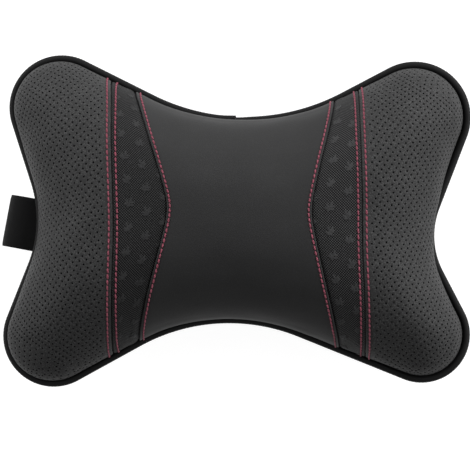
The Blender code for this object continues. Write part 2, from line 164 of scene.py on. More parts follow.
def side_point(side, share, inset):
    distance, points = side
    x, y, normal_x, normal_y = (
        np.interp(share * distance[-1], distance, points[:, k]) for k in range(4)
    )
    return np.stack([x + inset * normal_x, y + inset * normal_y], axis=-1)


def plan(u, v, inset):
    """Points in plan: u runs left to right and v bottom to top, blended from the sides."""
    u, v, inset = np.broadcast_arrays(*(np.asarray(x, float) for x in (u, v, inset)))
    zero, one = np.zeros_like(u), np.ones_like(u)
    right, left = side_point(RIGHT_SIDE, v, inset), side_point(LEFT_SIDE, 1 - v, inset)
    top, bottom = side_point(TOP_SIDE, 1 - u, inset), side_point(BOTTOM_SIDE, u, inset)
    lower_left, lower_right = (side_point(BOTTOM_SIDE, end, inset) for end in (zero, one))
    upper_left, upper_right = (side_point(TOP_SIDE, end, inset) for end in (one, zero))
    u, v = u[..., None], v[..., None]
    lower = lower_left * (1 - u) + lower_right * u
    upper = upper_left * (1 - u) + upper_right * u
    blended = left * (1 - u) + right * u + bottom * (1 - v) + top * v
    return blended - lower * (1 - v) - upper * v


def crown(u, v, fullness):
    across = 1 - np.abs(2 * u - 1) ** fullness[0]
    along = 1 - np.abs(2 * v - 1) ** fullness[1]
    return np.sqrt(np.maximum(0, across * along))


BULGE = 1.6 * MM
LEFT_BULGE = 1.4 * MM
RIGHT_BULGE = -1.5 * MM
TOP_WAIST_BULGE = 2.0 * MM
LEFT_WAIST_BULGE = 0.8 * MM
RIGHT_WAIST_BULGE = 5.7 * MM
BOTTOM_WAIST_BULGE = 1.9 * MM
UPPER_LEFT_HOLLOW = 1.5 * MM
LOWER_LEFT_HOLLOW = 0.7 * MM
UNEVENNESS = 0.4 * MM
SIDE_WAIST_V = 0.47
SIDE_WAIST_REACH = 0.15
MIDDLE_REACH = 0.27


def rim_bulge(u, v, share):
    """How far the stuffed cover stands out past its seam, low down on its flank."""
    low_flank = np.sin(np.pi * np.clip(share, 0, 1) ** 0.55)
    side_waist = np.exp(-(((v - SIDE_WAIST_V) / SIDE_WAIST_REACH) ** 2))
    middle = np.exp(-(((u - 0.5) / MIDDLE_REACH) ** 2))
    reach = BULGE + (1 - u) ** 5 * (LEFT_BULGE + LEFT_WAIST_BULGE * side_waist)
    reach = reach + u**5 * (RIGHT_BULGE + RIGHT_WAIST_BULGE * side_waist)
    reach = reach + v**5 * TOP_WAIST_BULGE * middle + (1 - v) ** 5 * BOTTOM_WAIST_BULGE * middle
    reach = reach - UPPER_LEFT_HOLLOW * np.exp(-((u / 0.3) ** 2) - ((1 - v) / 0.22) ** 2)
    reach = reach - LOWER_LEFT_HOLLOW * np.exp(-((u / 0.3) ** 2) - (v / 0.3) ** 2)
    return low_flank * reach


def unevenness(place):
    """Soft hollows and swells that loose fibre leaves in the cover."""
    x, y = place[..., 0] / MM, place[..., 1] / MM
    towards_lobes = np.clip((np.abs(x) - 40) / 60, 0.12, 1)
    return UNEVENNESS * towards_lobes * (
        np.sin(x / 17.0 + 1.3 + y / 41.0)
        + np.sin(y / 14.0 + 0.4 - x / 37.0)
        + 0.6 * np.sin((x + y) / 9.5 + 2.1)
        + 0.5 * np.sin((x - 1.3 * y) / 7.3 + 0.7)
    )


# Each pucker's root x and y in millimetres, its heading in degrees, its reach and its rise.
PUCKERS = [
    (126.5, -12.8, 222, 9.0, 0.75),
    (127.0, -17.5, 196, 7.0, 0.4),
    (124.5, -4.0, 205, 8.0, 0.4),
]
PUCKER_WIDTH = 1.5


def puckers(place):
    """Short ridges where the seam gathers the cover at the right waist."""
    height = np.zeros(place.shape[:-1])
    for x, y, heading, reach, rise in PUCKERS:
        cos, sin = math.cos(math.radians(heading)), math.sin(math.radians(heading))
        away_x, away_y = place[..., 0] / MM - x, place[..., 1] / MM - y
        along = (away_x * cos + away_y * sin) / reach
        across = (away_y * cos - away_x * sin) / PUCKER_WIDTH
        ridge = np.exp(-(across**2)) * np.clip(1 - np.abs(2 * along - 1) ** 2, 0, 1)
        height += rise * MM * ridge
    return height


def shaped_front(u, v, depth=0.0):
    """Points on the front as it is cut and sewn, or at a depth under it."""
    u, v = np.broadcast_arrays(np.asarray(u, float), np.asarray(v, float))
    share = crown(u, v, FRONT_FULLNESS)
    rise = RIM_LIFT + (FRONT_CROWN - RIM_LIFT - depth) * share
    inset = RIM_INSET + depth - rim_bulge(u, v, share)
    bead = PIPING_DIAMETER / 2 + 0.15 * MM
    beside_bead = PIPING_DIAMETER / 2 + np.sqrt(np.maximum(0, bead**2 - rise**2))
    inset = np.where(rise < bead, np.maximum(inset, beside_bead), inset)
    place = plan(u, v, inset) + FRAME_SHIFT
    swell = unevenness(place) * np.clip(2 * share, 0, 1)
    gathers = puckers(place) * np.clip(8 * share, 0, 1)
    height = SEAM_HEIGHT + rise + swell + gathers
    return np.concatenate([place, height[..., None]], axis=-1)


def back(u, v, depth=0.0):
    """Points on the back, pressed flat where the pillow lies on it."""
    u, v = np.broadcast_arrays(np.asarray(u, float), np.asarray(v, float))
    share = np.minimum(1.0, crown(u, v, BACK_FULLNESS) / BACK_FLAT_SHARE)
    place = plan(u, v, RIM_INSET + depth) + FRAME_SHIFT
    drop = (BACK_DEPTH - RIM_LIFT - depth) * np.sin(share * np.pi / 2)
    height = SEAM_HEIGHT - RIM_LIFT - drop
    return np.concatenate([place, height[..., None]], axis=-1)


# The cover settles over its filling: a closed pad of the same form is remeshed, blown
# up a little by cloth simulation with its seam held, and its moves are kept.

SETTLING_VOXEL = 5.0 * MM
SETTLING_FRAMES = 20
SETTLING_LIMIT = 5.0 * MM
SETTLING_SHARE = 0.45
SETTLING_COLUMNS = 64
SETTLING_ROWS = 46


def grid_spread(count):
    """Shares of a side, closer together towards its ends."""
    return (1 - np.cos(np.pi * np.linspace(0, 1, count + 1))) / 2


def placed_grid(bm, points):
    """Adds a grid of rows by columns whose vertices go to the given points."""
    rows, columns = points.shape[0] - 1, points.shape[1] - 1
    made = bmesh.ops.create_grid(bm, x_segments=columns, y_segments=rows, size=0.5)
    verts = {}
    for vert in made["verts"]:
        column = round((vert.co.x + 0.5) * columns)
        row = round((vert.co.y + 0.5) * rows)
        vert.co = points[row, column]
        verts[row, column] = vert
    return verts


def grid_rim(rows, columns):
    """Row and column of every vertex round a grid's rim, in order."""
    low = [(0, column) for column in range(columns)]
    right = [(row, columns) for row in range(rows)]
    high = [(rows, column) for column in range(columns, 0, -1)]
    left = [(row, 0) for row in range(rows, 0, -1)]
    return low + right + high + left


def trial_pad():
    """A closed pad between the shaped front and the back, remeshed into even cells."""
    u, v = np.meshgrid(grid_spread(60), grid_spread(44))
    bm = bmesh.new()
    outer = placed_grid(bm, shaped_front(u, v))
    inner = placed_grid(bm, back(u, v))
    rim = grid_rim(u.shape[0] - 1, u.shape[1] - 1)
    for here, there in zip(rim, rim[1:] + rim[:1]):
        bm.faces.new((outer[here], outer[there], inner[there], inner[here]))
    bmesh.ops.recalc_face_normals(bm, faces=bm.faces)
    mesh = bpy.data.meshes.new("trial_pad")
    bm.to_mesh(mesh)
    bm.free()
    pad = bpy.data.objects.new("trial_pad", mesh)
    bpy.context.scene.collection.objects.link(pad)
    remesh = pad.modifiers.new("cells", "REMESH")
    remesh.mode = "VOXEL"
    remesh.voxel_size = SETTLING_VOXEL
    graph = bpy.context.evaluated_depsgraph_get()
    cells = bpy.data.meshes.new_from_object(pad.evaluated_get(graph))
    pad.modifiers.clear()
    pad.data = cells
    bpy.data.meshes.remove(mesh)
    return pad


def mesh_points(mesh):
    points = np.empty(len(mesh.vertices) * 3)
    mesh.vertices.foreach_get("co", points)
    return points.reshape(-1, 3)


def settling_moves():
    """Moves of a grid of points of the front while the pad settles."""
    pad = trial_pad()
    start = mesh_points(pad.data)
    held = pad.vertex_groups.new(name="held")
    seam = np.flatnonzero(start[:, 2] < SEAM_HEIGHT + 4 * MM)
    held.add(seam.tolist(), 1.0, "REPLACE")
    cloth = pad.modifiers.new("settling", "CLOTH")
    cloth.settings.quality = 5
    cloth.settings.mass = 0.2
    cloth.settings.tension_stiffness = 12
    cloth.settings.compression_stiffness = 12
    cloth.settings.shear_stiffness = 5
    cloth.settings.bending_stiffness = 0.3
    cloth.settings.use_pressure = True
    cloth.settings.uniform_pressure_force = 4
    cloth.settings.shrink_min = -0.02
    cloth.settings.vertex_group_mass = "held"
    cloth.settings.effector_weights.gravity = 0
    cloth.collision_settings.use_collision = False
    scene = bpy.context.scene
    for step in range(1, SETTLING_FRAMES + 1):
        scene.frame_set(step)
    settled = pad.evaluated_get(bpy.context.evaluated_depsgraph_get()).to_mesh()
    moves = mesh_points(settled) - start
    pad.to_mesh_clear()
    scene.frame_set(1)
    bpy.data.objects.remove(pad)
    moves *= SETTLING_SHARE
    length = np.linalg.norm(moves, axis=1, keepdims=True)
    moves *= np.minimum(1, SETTLING_LIMIT / np.maximum(length, 1e-9))
    u, v = np.meshgrid(grid_spread(SETTLING_COLUMNS), grid_spread(SETTLING_ROWS))
    wanted = shaped_front(u, v)
    tree = KDTree(len(start))
    for k, point in enumerate(start):
        tree.insert(point, k)
    tree.balance()
    grid = np.zeros(wanted.shape)
    for row in range(wanted.shape[0]):
        for column in range(wanted.shape[1]):
            near = tree.find_n(wanted[row, column], 6)
            weight = np.array([1 / (gap + MM) ** 2 for _, _, gap in near])
            near_moves = moves[[k for _, k, _ in near]]
            grid[row, column] = weight @ near_moves / weight.sum()
    return grid


SETTLED = settling_moves()


def blending(share):
    """The four weights of a smooth curve through evenly spaced points."""
    return [
        (1 - share) ** 3 / 6,
        (3 * share**3 - 6 * share**2 + 4) / 6,
        (-3 * share**3 + 3 * share**2 + 3 * share + 1) / 6,
        share**3 / 6,
    ]


def settled(u, v):
    """Move of the cover at u, v, blended between the grid's points."""
    column = np.arccos(np.clip(1 - 2 * u, -1, 1)) / np.pi * SETTLING_COLUMNS
    row = np.arccos(np.clip(1 - 2 * v, -1, 1)) / np.pi * SETTLING_ROWS
    first_column = np.clip(np.floor(column), 0, SETTLING_COLUMNS - 1).astype(int)
    first_row = np.clip(np.floor(row), 0, SETTLING_ROWS - 1).astype(int)
    across, along = blending(column - first_column), blending(row - first_row)
    move = np.zeros((*u.shape, 3))
    for i in range(4):
        near_row = np.clip(first_row + i - 1, 0, SETTLING_ROWS)
        for j in range(4):
            near_column = np.clip(first_column + j - 1, 0, SETTLING_COLUMNS)
            move += (along[i] * across[j])[..., None] * SETTLED[near_row, near_column]
    return move


def front(u, v, depth=0.0):
    """Points on the settled front of the pillow, or at a depth under it."""
    u, v = np.broadcast_arrays(np.asarray(u, float), np.asarray(v, float))
    held = np.clip(3 * crown(u, v, FRONT_FULLNESS), 0, 1)
    return shaped_front(u, v, depth) + held[..., None] * settled(u, v)


def tangents(surface, u, v, step=2e-4):
    """Change of a surface's points for each unit of u and of v."""
    u_low, u_high = np.clip(u - step, 0, 1), np.clip(u + step, 0, 1)
    v_low, v_high = np.clip(v - step, 0, 1), np.clip(v + step, 0, 1)
    along_u = (surface(u_high, v) - surface(u_low, v)) / (u_high - u_low)[..., None]
    along_v = (surface(u, v_high) - surface(u, v_low)) / (v_high - v_low)[..., None]
    return along_u, along_v


def outward(surface, u, v):
    along_u, along_v = tangents(surface, u, v)
    normal = np.cross(along_u, along_v)
    normal /= np.maximum(1e-12, np.linalg.norm(normal, axis=-1, keepdims=True))
    return normal if surface is front else -normal


def zero_where(rising, low, high, rounds=34):
    """Values between low and high at which a rising function is zero."""
    for _ in range(rounds):
        middle = (low + high) / 2
        below = rising(middle) < 0
        low, high = np.where(below, middle, low), np.where(below, high, middle)
    return (low + high) / 2


# The four panel seams on the front. The straight ones are butted and pressed open,
# and at the curved ones the centre panel's folded edge laps over its neighbours.

LEFT_STRAIGHT_SEAM = (-73.9 * MM, 0.0, 1200.0 * MM)
LEFT_STRAIGHT_SWAY = (1.6 * MM, -7.0 * MM, 40.0 * MM, 1.5 * MM)
RIGHT_STRAIGHT_SEAM = (81.85 * MM, -0.024, 9000.0 * MM)
RIGHT_STRAIGHT_SWAY = (-0.7 * MM, -19.0 * MM, 24.0 * MM, 0.0)
LEFT_CURVED_SEAM = (-38.4 * MM, 5.3 * MM, 10.6 * MM, 0.348, 0.305)
LEFT_CURVED_FLICK = 2.3 * MM
RIGHT_CURVED_SEAM = (49.9 * MM, 3.0 * MM, 8.0 * MM, 0.235, 0.235)
STITCH_OFFSET = 2.6 * MM
LAPPED_STITCH_OFFSET = 1.5 * MM
STITCH_PITCH = 3.7 * MM
ROWS_PER_STITCH = 4


def straight_seam(middle, lean, bow_radius, sway, sway_y, sway_reach, end_pull):
    """A nearly straight seam: the filling sways it, and its ends are pulled outwards."""

    def x_at(y):
        bow = np.copysign(y * y / (2 * bow_radius), middle)
        swayed = sway * np.exp(-(((y - sway_y) / sway_reach) ** 2))
        return middle + lean * y + bow + swayed - end_pull * (y / (85 * MM)) ** 10

    return x_at


def curved_seam(waist_x, waist_y, rounding, flare_up, flare_down, flick=0.0):
    """A seam that curves in at the waist and flicks outwards at its ends."""

    def x_at(y):
        above = y - waist_y
        flare = np.where(above > 0, flare_up, flare_down)
        out = flare * (np.hypot(above, rounding) - rounding) + flick * (y / (80 * MM)) ** 8
        return waist_x + math.copysign(1, waist_x) * out

    return x_at


SEAMS = {
    "left_straight": straight_seam(*LEFT_STRAIGHT_SEAM, *LEFT_STRAIGHT_SWAY),
    "left_curve": curved_seam(*LEFT_CURVED_SEAM, LEFT_CURVED_FLICK),
    "right_curve": curved_seam(*RIGHT_CURVED_SEAM),
    "right_straight": straight_seam(*RIGHT_STRAIGHT_SEAM, *RIGHT_STRAIGHT_SWAY),
}


def seam_u(seam, v, offset=0.0):
    """u at which each v meets a seam, or the line at an offset to its right."""

    def beyond(u):
        place = plan(u, v, RIM_INSET)
        return place[..., 0] - SEAMS[seam](place[..., 1]) - offset

    return zero_where(beyond, np.zeros_like(v), np.ones_like(v))


def stitch_stations(rows_per_stitch):
    """v of a panel's rows: a whole number for each stitch, even along a seam."""
    fine = np.linspace(0, 1, 1200)
    line = front(seam_u("left_straight", fine), fine)
    length = distance_along(line)
    stitches = round(length[-1] / STITCH_PITCH)
    even = np.linspace(0, length[-1], stitches * rows_per_stitch + 1)
    return np.interp(even, length, fine)


ROW_V = stitch_stations(ROWS_PER_STITCH)
ROWS = len(ROW_V) - 1


def add_piece(name, bm, material):
    """Turns a bmesh into a smooth-shaded piece that rides on the pillow."""
    bmesh.ops.recalc_face_normals(bm, faces=bm.faces)
    mesh = bpy.data.meshes.new(name)
    bm.to_mesh(mesh)
    bm.free()
    mesh.shade_smooth()
    mesh.materials.append(material)
    piece = bpy.data.objects.new(name, mesh)
    bpy.context.scene.collection.objects.link(piece)
    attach(piece, "root")
    return piece


def skin_between(name, outer, inner, flat, material):
    """A closed skin between two grids of points, with its flat pattern as UVs."""
    bm = bmesh.new()
    rows, columns = outer.shape[0] - 1, outer.shape[1] - 1
    outer_verts, inner_verts = placed_grid(bm, outer), placed_grid(bm, inner)
    pattern = bm.loops.layers.uv.new("pattern")
    for verts in (outer_verts, inner_verts):
        for (row, column), vert in verts.items():
            for loop in vert.link_loops:
                loop[pattern].uv = flat[row, column] / MM
    rim = grid_rim(rows, columns)
    for here, there in zip(rim, rim[1:] + rim[:1]):
        corners = outer_verts[here], outer_verts[there], inner_verts[there], inner_verts[here]
        bm.faces.new(corners)
    return add_piece(name, bm, material)


# Leathercloth. A coated cloth with a fine pebbled grain: the grain is a node group
# that every leathercloth material places with its own scale and depth.


def group_socket(group, name, kind, in_out, value=None):
    socket = group.interface.new_socket(name=name, in_out=in_out, socket_type=kind)
    if value is not None:
        socket.default_value = value


def new_material(name, roughness=0.5, specular=0.5):
    """A material, and its nodes, links and shader."""
    material = bpy.data.materials.new(name)
    material.use_nodes = True
    nodes, links = material.node_tree.nodes, material.node_tree.links
    shader = nodes["Principled BSDF"]
    shader.inputs["Roughness"].default_value = roughness
    shader.inputs["Specular IOR Level"].default_value = specular
    return material, nodes, links, shader


def calculated(nodes, links, operation, *values):
    """Output of a Math node whose inputs are sockets to link or numbers to set."""
    node = nodes.new("ShaderNodeMath")
    node.operation = operation
    for socket, value in zip(node.inputs, values):
        if isinstance(value, (int, float)):
            socket.default_value = value
        else:
            links.new(value, socket)
    return node.outputs["Value"]


def texture(nodes, links, kind, vector, bands=None, **values):
    """Output of a noise or a wave on a vector; bands is a wave's direction."""
    node = nodes.new("ShaderNodeTex" + kind)
    if bands:
        node.wave_type = "BANDS"
        node.bands_direction = bands
    for name, value in values.items():
        node.inputs[name].default_value = value
    links.new(vector, node.inputs["Vector"])
    return node.outputs["Fac"]


def ranged(nodes, links, value, low, high, from_low=0.0, from_high=1.0):
    """A value's range mapped to the one from low to high."""
    mapped = nodes.new("ShaderNodeMapRange")
    mapped.inputs["From Min"].default_value = from_low
    mapped.inputs["From Max"].default_value = from_high
    mapped.inputs["To Min"].default_value = low
    mapped.inputs["To Max"].default_value = high
    links.new(value, mapped.inputs["Value"])
    return mapped.outputs["Result"]


def two_tones(nodes, links, share, dark, light):
    """A colour that goes from dark to light with the share."""
    tone = nodes.new("ShaderNodeMix")
    tone.data_type = "RGBA"
    tone.inputs["A"].default_value = (*dark, 1)
    tone.inputs["B"].default_value = (*light, 1)
    links.new(share, tone.inputs["Factor"])
    return tone.outputs["Result"]


def shaded(nodes, links, colour, shade):
    """A colour times a shade."""
    product = nodes.new("ShaderNodeMix")
    product.data_type = "RGBA"
    product.blend_type = "MULTIPLY"
    product.inputs["Factor"].default_value = 1.0
    links.new(colour, product.inputs["A"])
    links.new(shade, product.inputs["B"])
    return product.outputs["Result"]


def bumped(nodes, links, height, depth, normal):
    """Bumps a shader's normal, or another bump's, by a height."""
    bump = nodes.new("ShaderNodeBump")
    bump.inputs["Distance"].default_value = depth
    bump.inputs["Strength"].default_value = 1.0
    links.new(height, bump.inputs["Height"])
    links.new(bump.outputs["Normal"], normal)


def object_place(nodes):
    return nodes.new("ShaderNodeTexCoord").outputs["Object"]


def leather_grain_group():
    """Rounded pebbles with fine creases between them, and a wide mottle."""
    group = bpy.data.node_groups.new("leather_grain", "ShaderNodeTree")
    group_socket(group, "Pebbles per metre", "NodeSocketFloat", "INPUT", 1300.0)
    group_socket(group, "Height", "NodeSocketFloat", "OUTPUT")
    group_socket(group, "Tone", "NodeSocketFloat", "OUTPUT")
    nodes, links = group.nodes, group.links
    inputs, outputs = nodes.new("NodeGroupInput"), nodes.new("NodeGroupOutput")
    place = object_place(nodes)
    pebbles = nodes.new("ShaderNodeTexVoronoi")
    pebbles.feature = "SMOOTH_F1"
    pebbles.inputs["Smoothness"].default_value = 0.35
    links.new(place, pebbles.inputs["Vector"])
    links.new(inputs.outputs["Pebbles per metre"], pebbles.inputs["Scale"])
    creases = texture(nodes, links, "Noise", place, Scale=420.0, Detail=6.0, Roughness=0.6)
    rounded = calculated(nodes, links, "SUBTRACT", 1.0, pebbles.outputs["Distance"])
    height = calculated(nodes, links, "MULTIPLY_ADD", creases, 0.5, rounded)
    links.new(height, outputs.inputs["Height"])
    mottle = texture(nodes, links, "Noise", place, Scale=28.0, Detail=3.0)
    links.new(mottle, outputs.inputs["Tone"])
    return group


LEATHER_GRAIN = leather_grain_group()
MOTTLE = 0.14
GLOSS_MOTTLE = 0.05


def leathercloth(
    name, colour, roughness, pebbles=1300.0, grain_depth=0.05 * MM, painted_grain_shade=0.1, specular=0.055
):
    """Coated cloth: the grain bumps it, with painted shade in the creases between its pebbles and
    painted light on their tops, and a mottle varies its gloss.
    """
    material, nodes, links, shader = new_material(name, roughness, specular)
    grain = nodes.new("ShaderNodeGroup")
    grain.node_tree = LEATHER_GRAIN
    grain.inputs["Pebbles per metre"].default_value = pebbles
    height, mottle = grain.outputs["Height"], grain.outputs["Tone"]
    dark, light = ([share * c for c in colour] for share in (1 - MOTTLE, 1 + MOTTLE))
    tone = two_tones(nodes, links, mottle, dark, light)
    # Painted shade: the colour darkens where the grain is low, in its creases, and lightens on
    # the pebble tops.
    painted_pebble_shading = ranged(nodes, links, height, 1 - painted_grain_shade, 1 + painted_grain_shade, 0.75, 1.25)
    links.new(shaded(nodes, links, tone, painted_pebble_shading), shader.inputs["Base Color"])
    gloss = ranged(nodes, links, mottle, roughness - GLOSS_MOTTLE, roughness + GLOSS_MOTTLE)
    links.new(gloss, shader.inputs["Roughness"])
    bumped(nodes, links, height, grain_depth, shader.inputs["Normal"])
    return material


# Panel edges. Each profile lists a panel's section beside a seam as steps: the offset
# from the seam line, and the lift above the stuffed form. Negative lifts sink.

PRESSED_EDGE = [
    (0.16 * MM, -1.25 * MM),
    (0.18 * MM, -0.8 * MM),
    (0.3 * MM, -0.42 * MM),
    (0.55 * MM, -0.14 * MM),
    (0.95 * MM, 0.02 * MM),
    (1.6 * MM, 0.02 * MM),
    (2.15 * MM, -0.06 * MM),
    (STITCH_OFFSET, -0.16 * MM),
    (3.05 * MM, -0.06 * MM),
    (3.7 * MM, 0.05 * MM),
    (4.8 * MM, 0.04 * MM),
]
LAPPED_EDGE = [
    (0.35 * MM, -0.9 * MM),
    (0.0 * MM, -0.75 * MM),
    (-0.25 * MM, -0.4 * MM),
    (-0.3 * MM, 0.0 * MM),
    (-0.15 * MM, 0.38 * MM),
    (0.1 * MM, 0.58 * MM),
    (0.45 * MM, 0.64 * MM),
    (1.0 * MM, 0.48 * MM),
    (LAPPED_STITCH_OFFSET, 0.34 * MM),
    (2.1 * MM, 0.44 * MM),
    (3.2 * MM, 0.46 * MM),
    (5.2 * MM, 0.36 * MM),
    (8.5 * MM, 0.18 * MM),
    (12.5 * MM, 0.05 * MM),
]
TUCKED_EDGE = [
    (-2.0 * MM, -1.15 * MM),
    (-1.0 * MM, -1.1 * MM),
    (0.0 * MM, -1.0 * MM),
    (0.5 * MM, -0.85 * MM),
    (1.0 * MM, -0.6 * MM),
    (1.8 * MM, -0.3 * MM),
    (3.0 * MM, -0.08 * MM),
    (4.5 * MM, 0.0 * MM),
]
DIMPLE = 0.22 * MM


def panel_points(v, left, left_edge, right, right_edge, spacing):
    """u, v and lift of a panel's grid, with its two edge profiles and even columns."""
    left_columns = [(seam_u(left, v, offset), lift) for offset, lift in left_edge]
    right_columns = [(seam_u(right, v, -offset), lift) for offset, lift in right_edge]
    first, last = left_columns[-1][0], right_columns[-1][0]
    middle = len(v) // 2
    ends = front(np.array([first[middle], last[middle]]), np.full(2, v[middle]))
    steps = max(2, round(np.linalg.norm(ends[1] - ends[0]) / spacing))
    between = [(first + (last - first) * k / steps, 0.0) for k in range(1, steps)]
    columns = left_columns + between + right_columns[::-1]
    u = np.stack([column[0] for column in columns], axis=1)
    lift = np.stack([np.full(len(v), column[1]) for column in columns], axis=1)
    return np.clip(u, 0, 1), np.repeat(v[:, None], u.shape[1], axis=1), lift


def dimple_stitch_holes(lift, columns, rows_per_stitch):
    """Sinks the stitch line a little where the needle went through."""
    for column in columns:
        lift[::rows_per_stitch, column] -= DIMPLE


def flat_pattern(points):
    """Distances across and along a grid of points, as the panel lay before sewing."""
    across = np.linalg.norm(np.diff(points, axis=1), axis=2)
    along = np.linalg.norm(np.diff(points, axis=0), axis=2)
    x = np.concatenate([np.zeros((len(points), 1)), np.cumsum(across, axis=1)], axis=1)
    x -= x[:, [points.shape[1] // 2]]
    y = np.concatenate([np.zeros((1, points.shape[1])), np.cumsum(along, axis=0)], axis=0)
    y -= y[[len(points) // 2], :]
    return np.stack([x, y], axis=-1)


def sewn_skin(name, u, v, lift, material):
    """A closed panel of leathercloth on the stuffed form."""
    base = front(u, v)
    outer = base + outward(front, u, v) * lift[..., None]
    inner = front(u, v, COVER_THICKNESS)
    return skin_between(name, outer, inner, flat_pattern(base), material)


# Centre panel: smooth leathercloth between the curved seams. Its side edges are
# folded under and lie on the embossed panels.

CENTRE_SPACING = 1.5 * MM
smooth_leather = leathercloth("smooth_leathercloth", (0.0345, 0.0345, 0.035), 0.5)
centre_u, centre_v, centre_lift = panel_points(
    ROW_V, "left_curve", LAPPED_EDGE, "right_curve", LAPPED_EDGE, CENTRE_SPACING
)
lapped_stitch_column = [offset for offset, _ in LAPPED_EDGE].index(LAPPED_STITCH_OFFSET)
dimple_stitch_holes(
    centre_lift, [lapped_stitch_column, -1 - lapped_stitch_column], ROWS_PER_STITCH
)
centre_leather = sewn_skin(
    "centre_leather", centre_u, centre_v, centre_lift, smooth_leather
)
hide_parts("centre_panel")

# Embossed panels: narrower strips of matt leathercloth. Heated rollers press a fine
# diagonal weave into them, and scattered leaf sprigs that stand a little proud of it.

EMBOSSED_SPACING = 0.6 * MM
EMBOSSED_ROWS_PER_STITCH = 6
WEAVE_PERIOD = 1.2 * MM
WEAVE_DEPTH = 0.25 * MM
SPRIG_HEIGHT = 0.38 * MM
SPRIG_COLUMN_GAP = 11.2 * MM
SPRIG_ROW_GAP = 15.2 * MM
# Each leaf's root x and y in millimetres, and its heading in degrees.
SPRIG_LEAVES = [
    (0.0, 1.1, 90),
    (-0.1, -0.2, 148),
    (0.1, 0.5, 32),
    (-0.05, -1.5, 158),
    (0.05, -0.9, 22),
]
LEAF_LENGTH = 3.2
LEAF_WIDTH = 0.85
STEM_RADIUS = 0.45
SPRIG_FREE_MARGIN = 3.6 * MM
SPRIG_TUCKED_MARGIN = 0.8 * MM


def sprig_field(x, y):
    """How far the sprigs stand up at places on the flat pattern, from 0 to 1."""
    field = np.zeros_like(x)
    column = np.round(x / SPRIG_COLUMN_GAP - 0.5)
    for near_column in (column - 1, column, column + 1):
        shift = 0.5 * (near_column % 2) + 0.12 * near_column
        row = np.round(y / SPRIG_ROW_GAP - shift)
        for near_row in (row - 1, row, row + 1):
            turn = np.radians(24) * np.where((near_row + near_column) % 2 == 0, 1, -1)
            away_x = (x - (near_column + 0.5) * SPRIG_COLUMN_GAP) / MM
            away_y = (y - (near_row + shift) * SPRIG_ROW_GAP) / MM
            along_x = away_x * np.cos(turn) + away_y * np.sin(turn)
            along_y = away_y * np.cos(turn) - away_x * np.sin(turn)
            past_end = np.maximum(0, np.abs(along_y + 0.6) - 2.0)
            stem = 1 - np.hypot(along_x / STEM_RADIUS, past_end / STEM_RADIUS)
            field = np.maximum(field, np.clip(2.2 * stem, 0, 1))
            for root_x, root_y, heading in SPRIG_LEAVES:
                cos, sin = math.cos(math.radians(heading)), math.sin(math.radians(heading))
                length = (along_x - root_x) * cos + (along_y - root_y) * sin
                width = (along_y - root_y) * cos - (along_x - root_x) * sin
                share = length / LEAF_LENGTH
                half_width = LEAF_WIDTH * np.sqrt(np.clip(4 * share * (1 - share), 0, 1))
                leaf = 1 - np.abs(width) / np.maximum(0.05, half_width)
                field = np.maximum(field, np.clip(2.6 * leaf * (share > 0) * (share < 1), 0, 1))
    return field


def pressed_weave_group():
    """Two sets of diagonal ribs on the flat pattern, in millimetres."""
    group = bpy.data.node_groups.new("pressed_weave", "ShaderNodeTree")
    group_socket(group, "Pattern", "NodeSocketVector", "INPUT")
    group_socket(group, "Ribs per millimetre", "NodeSocketFloat", "INPUT", 1.0)
    group_socket(group, "Height", "NodeSocketFloat", "OUTPUT")
    nodes, links = group.nodes, group.links
    inputs, outputs = nodes.new("NodeGroupInput"), nodes.new("NodeGroupOutput")
    waves = []
    for turn in (45, -45):
        turned = nodes.new("ShaderNodeVectorRotate")
        turned.rotation_type = "Z_AXIS"
        turned.inputs["Angle"].default_value = math.radians(turn)
        links.new(inputs.outputs["Pattern"], turned.inputs["Vector"])
        scaled = nodes.new("ShaderNodeVectorMath")
        scaled.operation = "SCALE"
        links.new(turned.outputs["Vector"], scaled.inputs["Vector"])
        links.new(inputs.outputs["Ribs per millimetre"], scaled.inputs["Scale"])
        apart = nodes.new("ShaderNodeSeparateXYZ")
        links.new(scaled.outputs["Vector"], apart.inputs["Vector"])
        angle = calculated(nodes, links, "MULTIPLY", apart.outputs["X"], 2 * math.pi)
        waves.append(calculated(nodes, links, "SINE", angle))
    woven = calculated(nodes, links, "ADD", *waves)
    height = calculated(nodes, links, "MULTIPLY_ADD", woven, 0.25, 0.5)
    links.new(height, outputs.inputs["Height"])
    return group


PRESSED_WEAVE = pressed_weave_group()
SPRIG_LEVEL = 0.66
SPRIG_PAINTED_SHEEN = 0.65
WEAVE_SHADE_CONTRAST = 2.6
WEAVE_SHADE_GAIN = 5.0


def pattern_place(nodes, uv_map):
    lie = nodes.new("ShaderNodeUVMap")
    lie.uv_map = uv_map
    return lie.outputs["UV"]


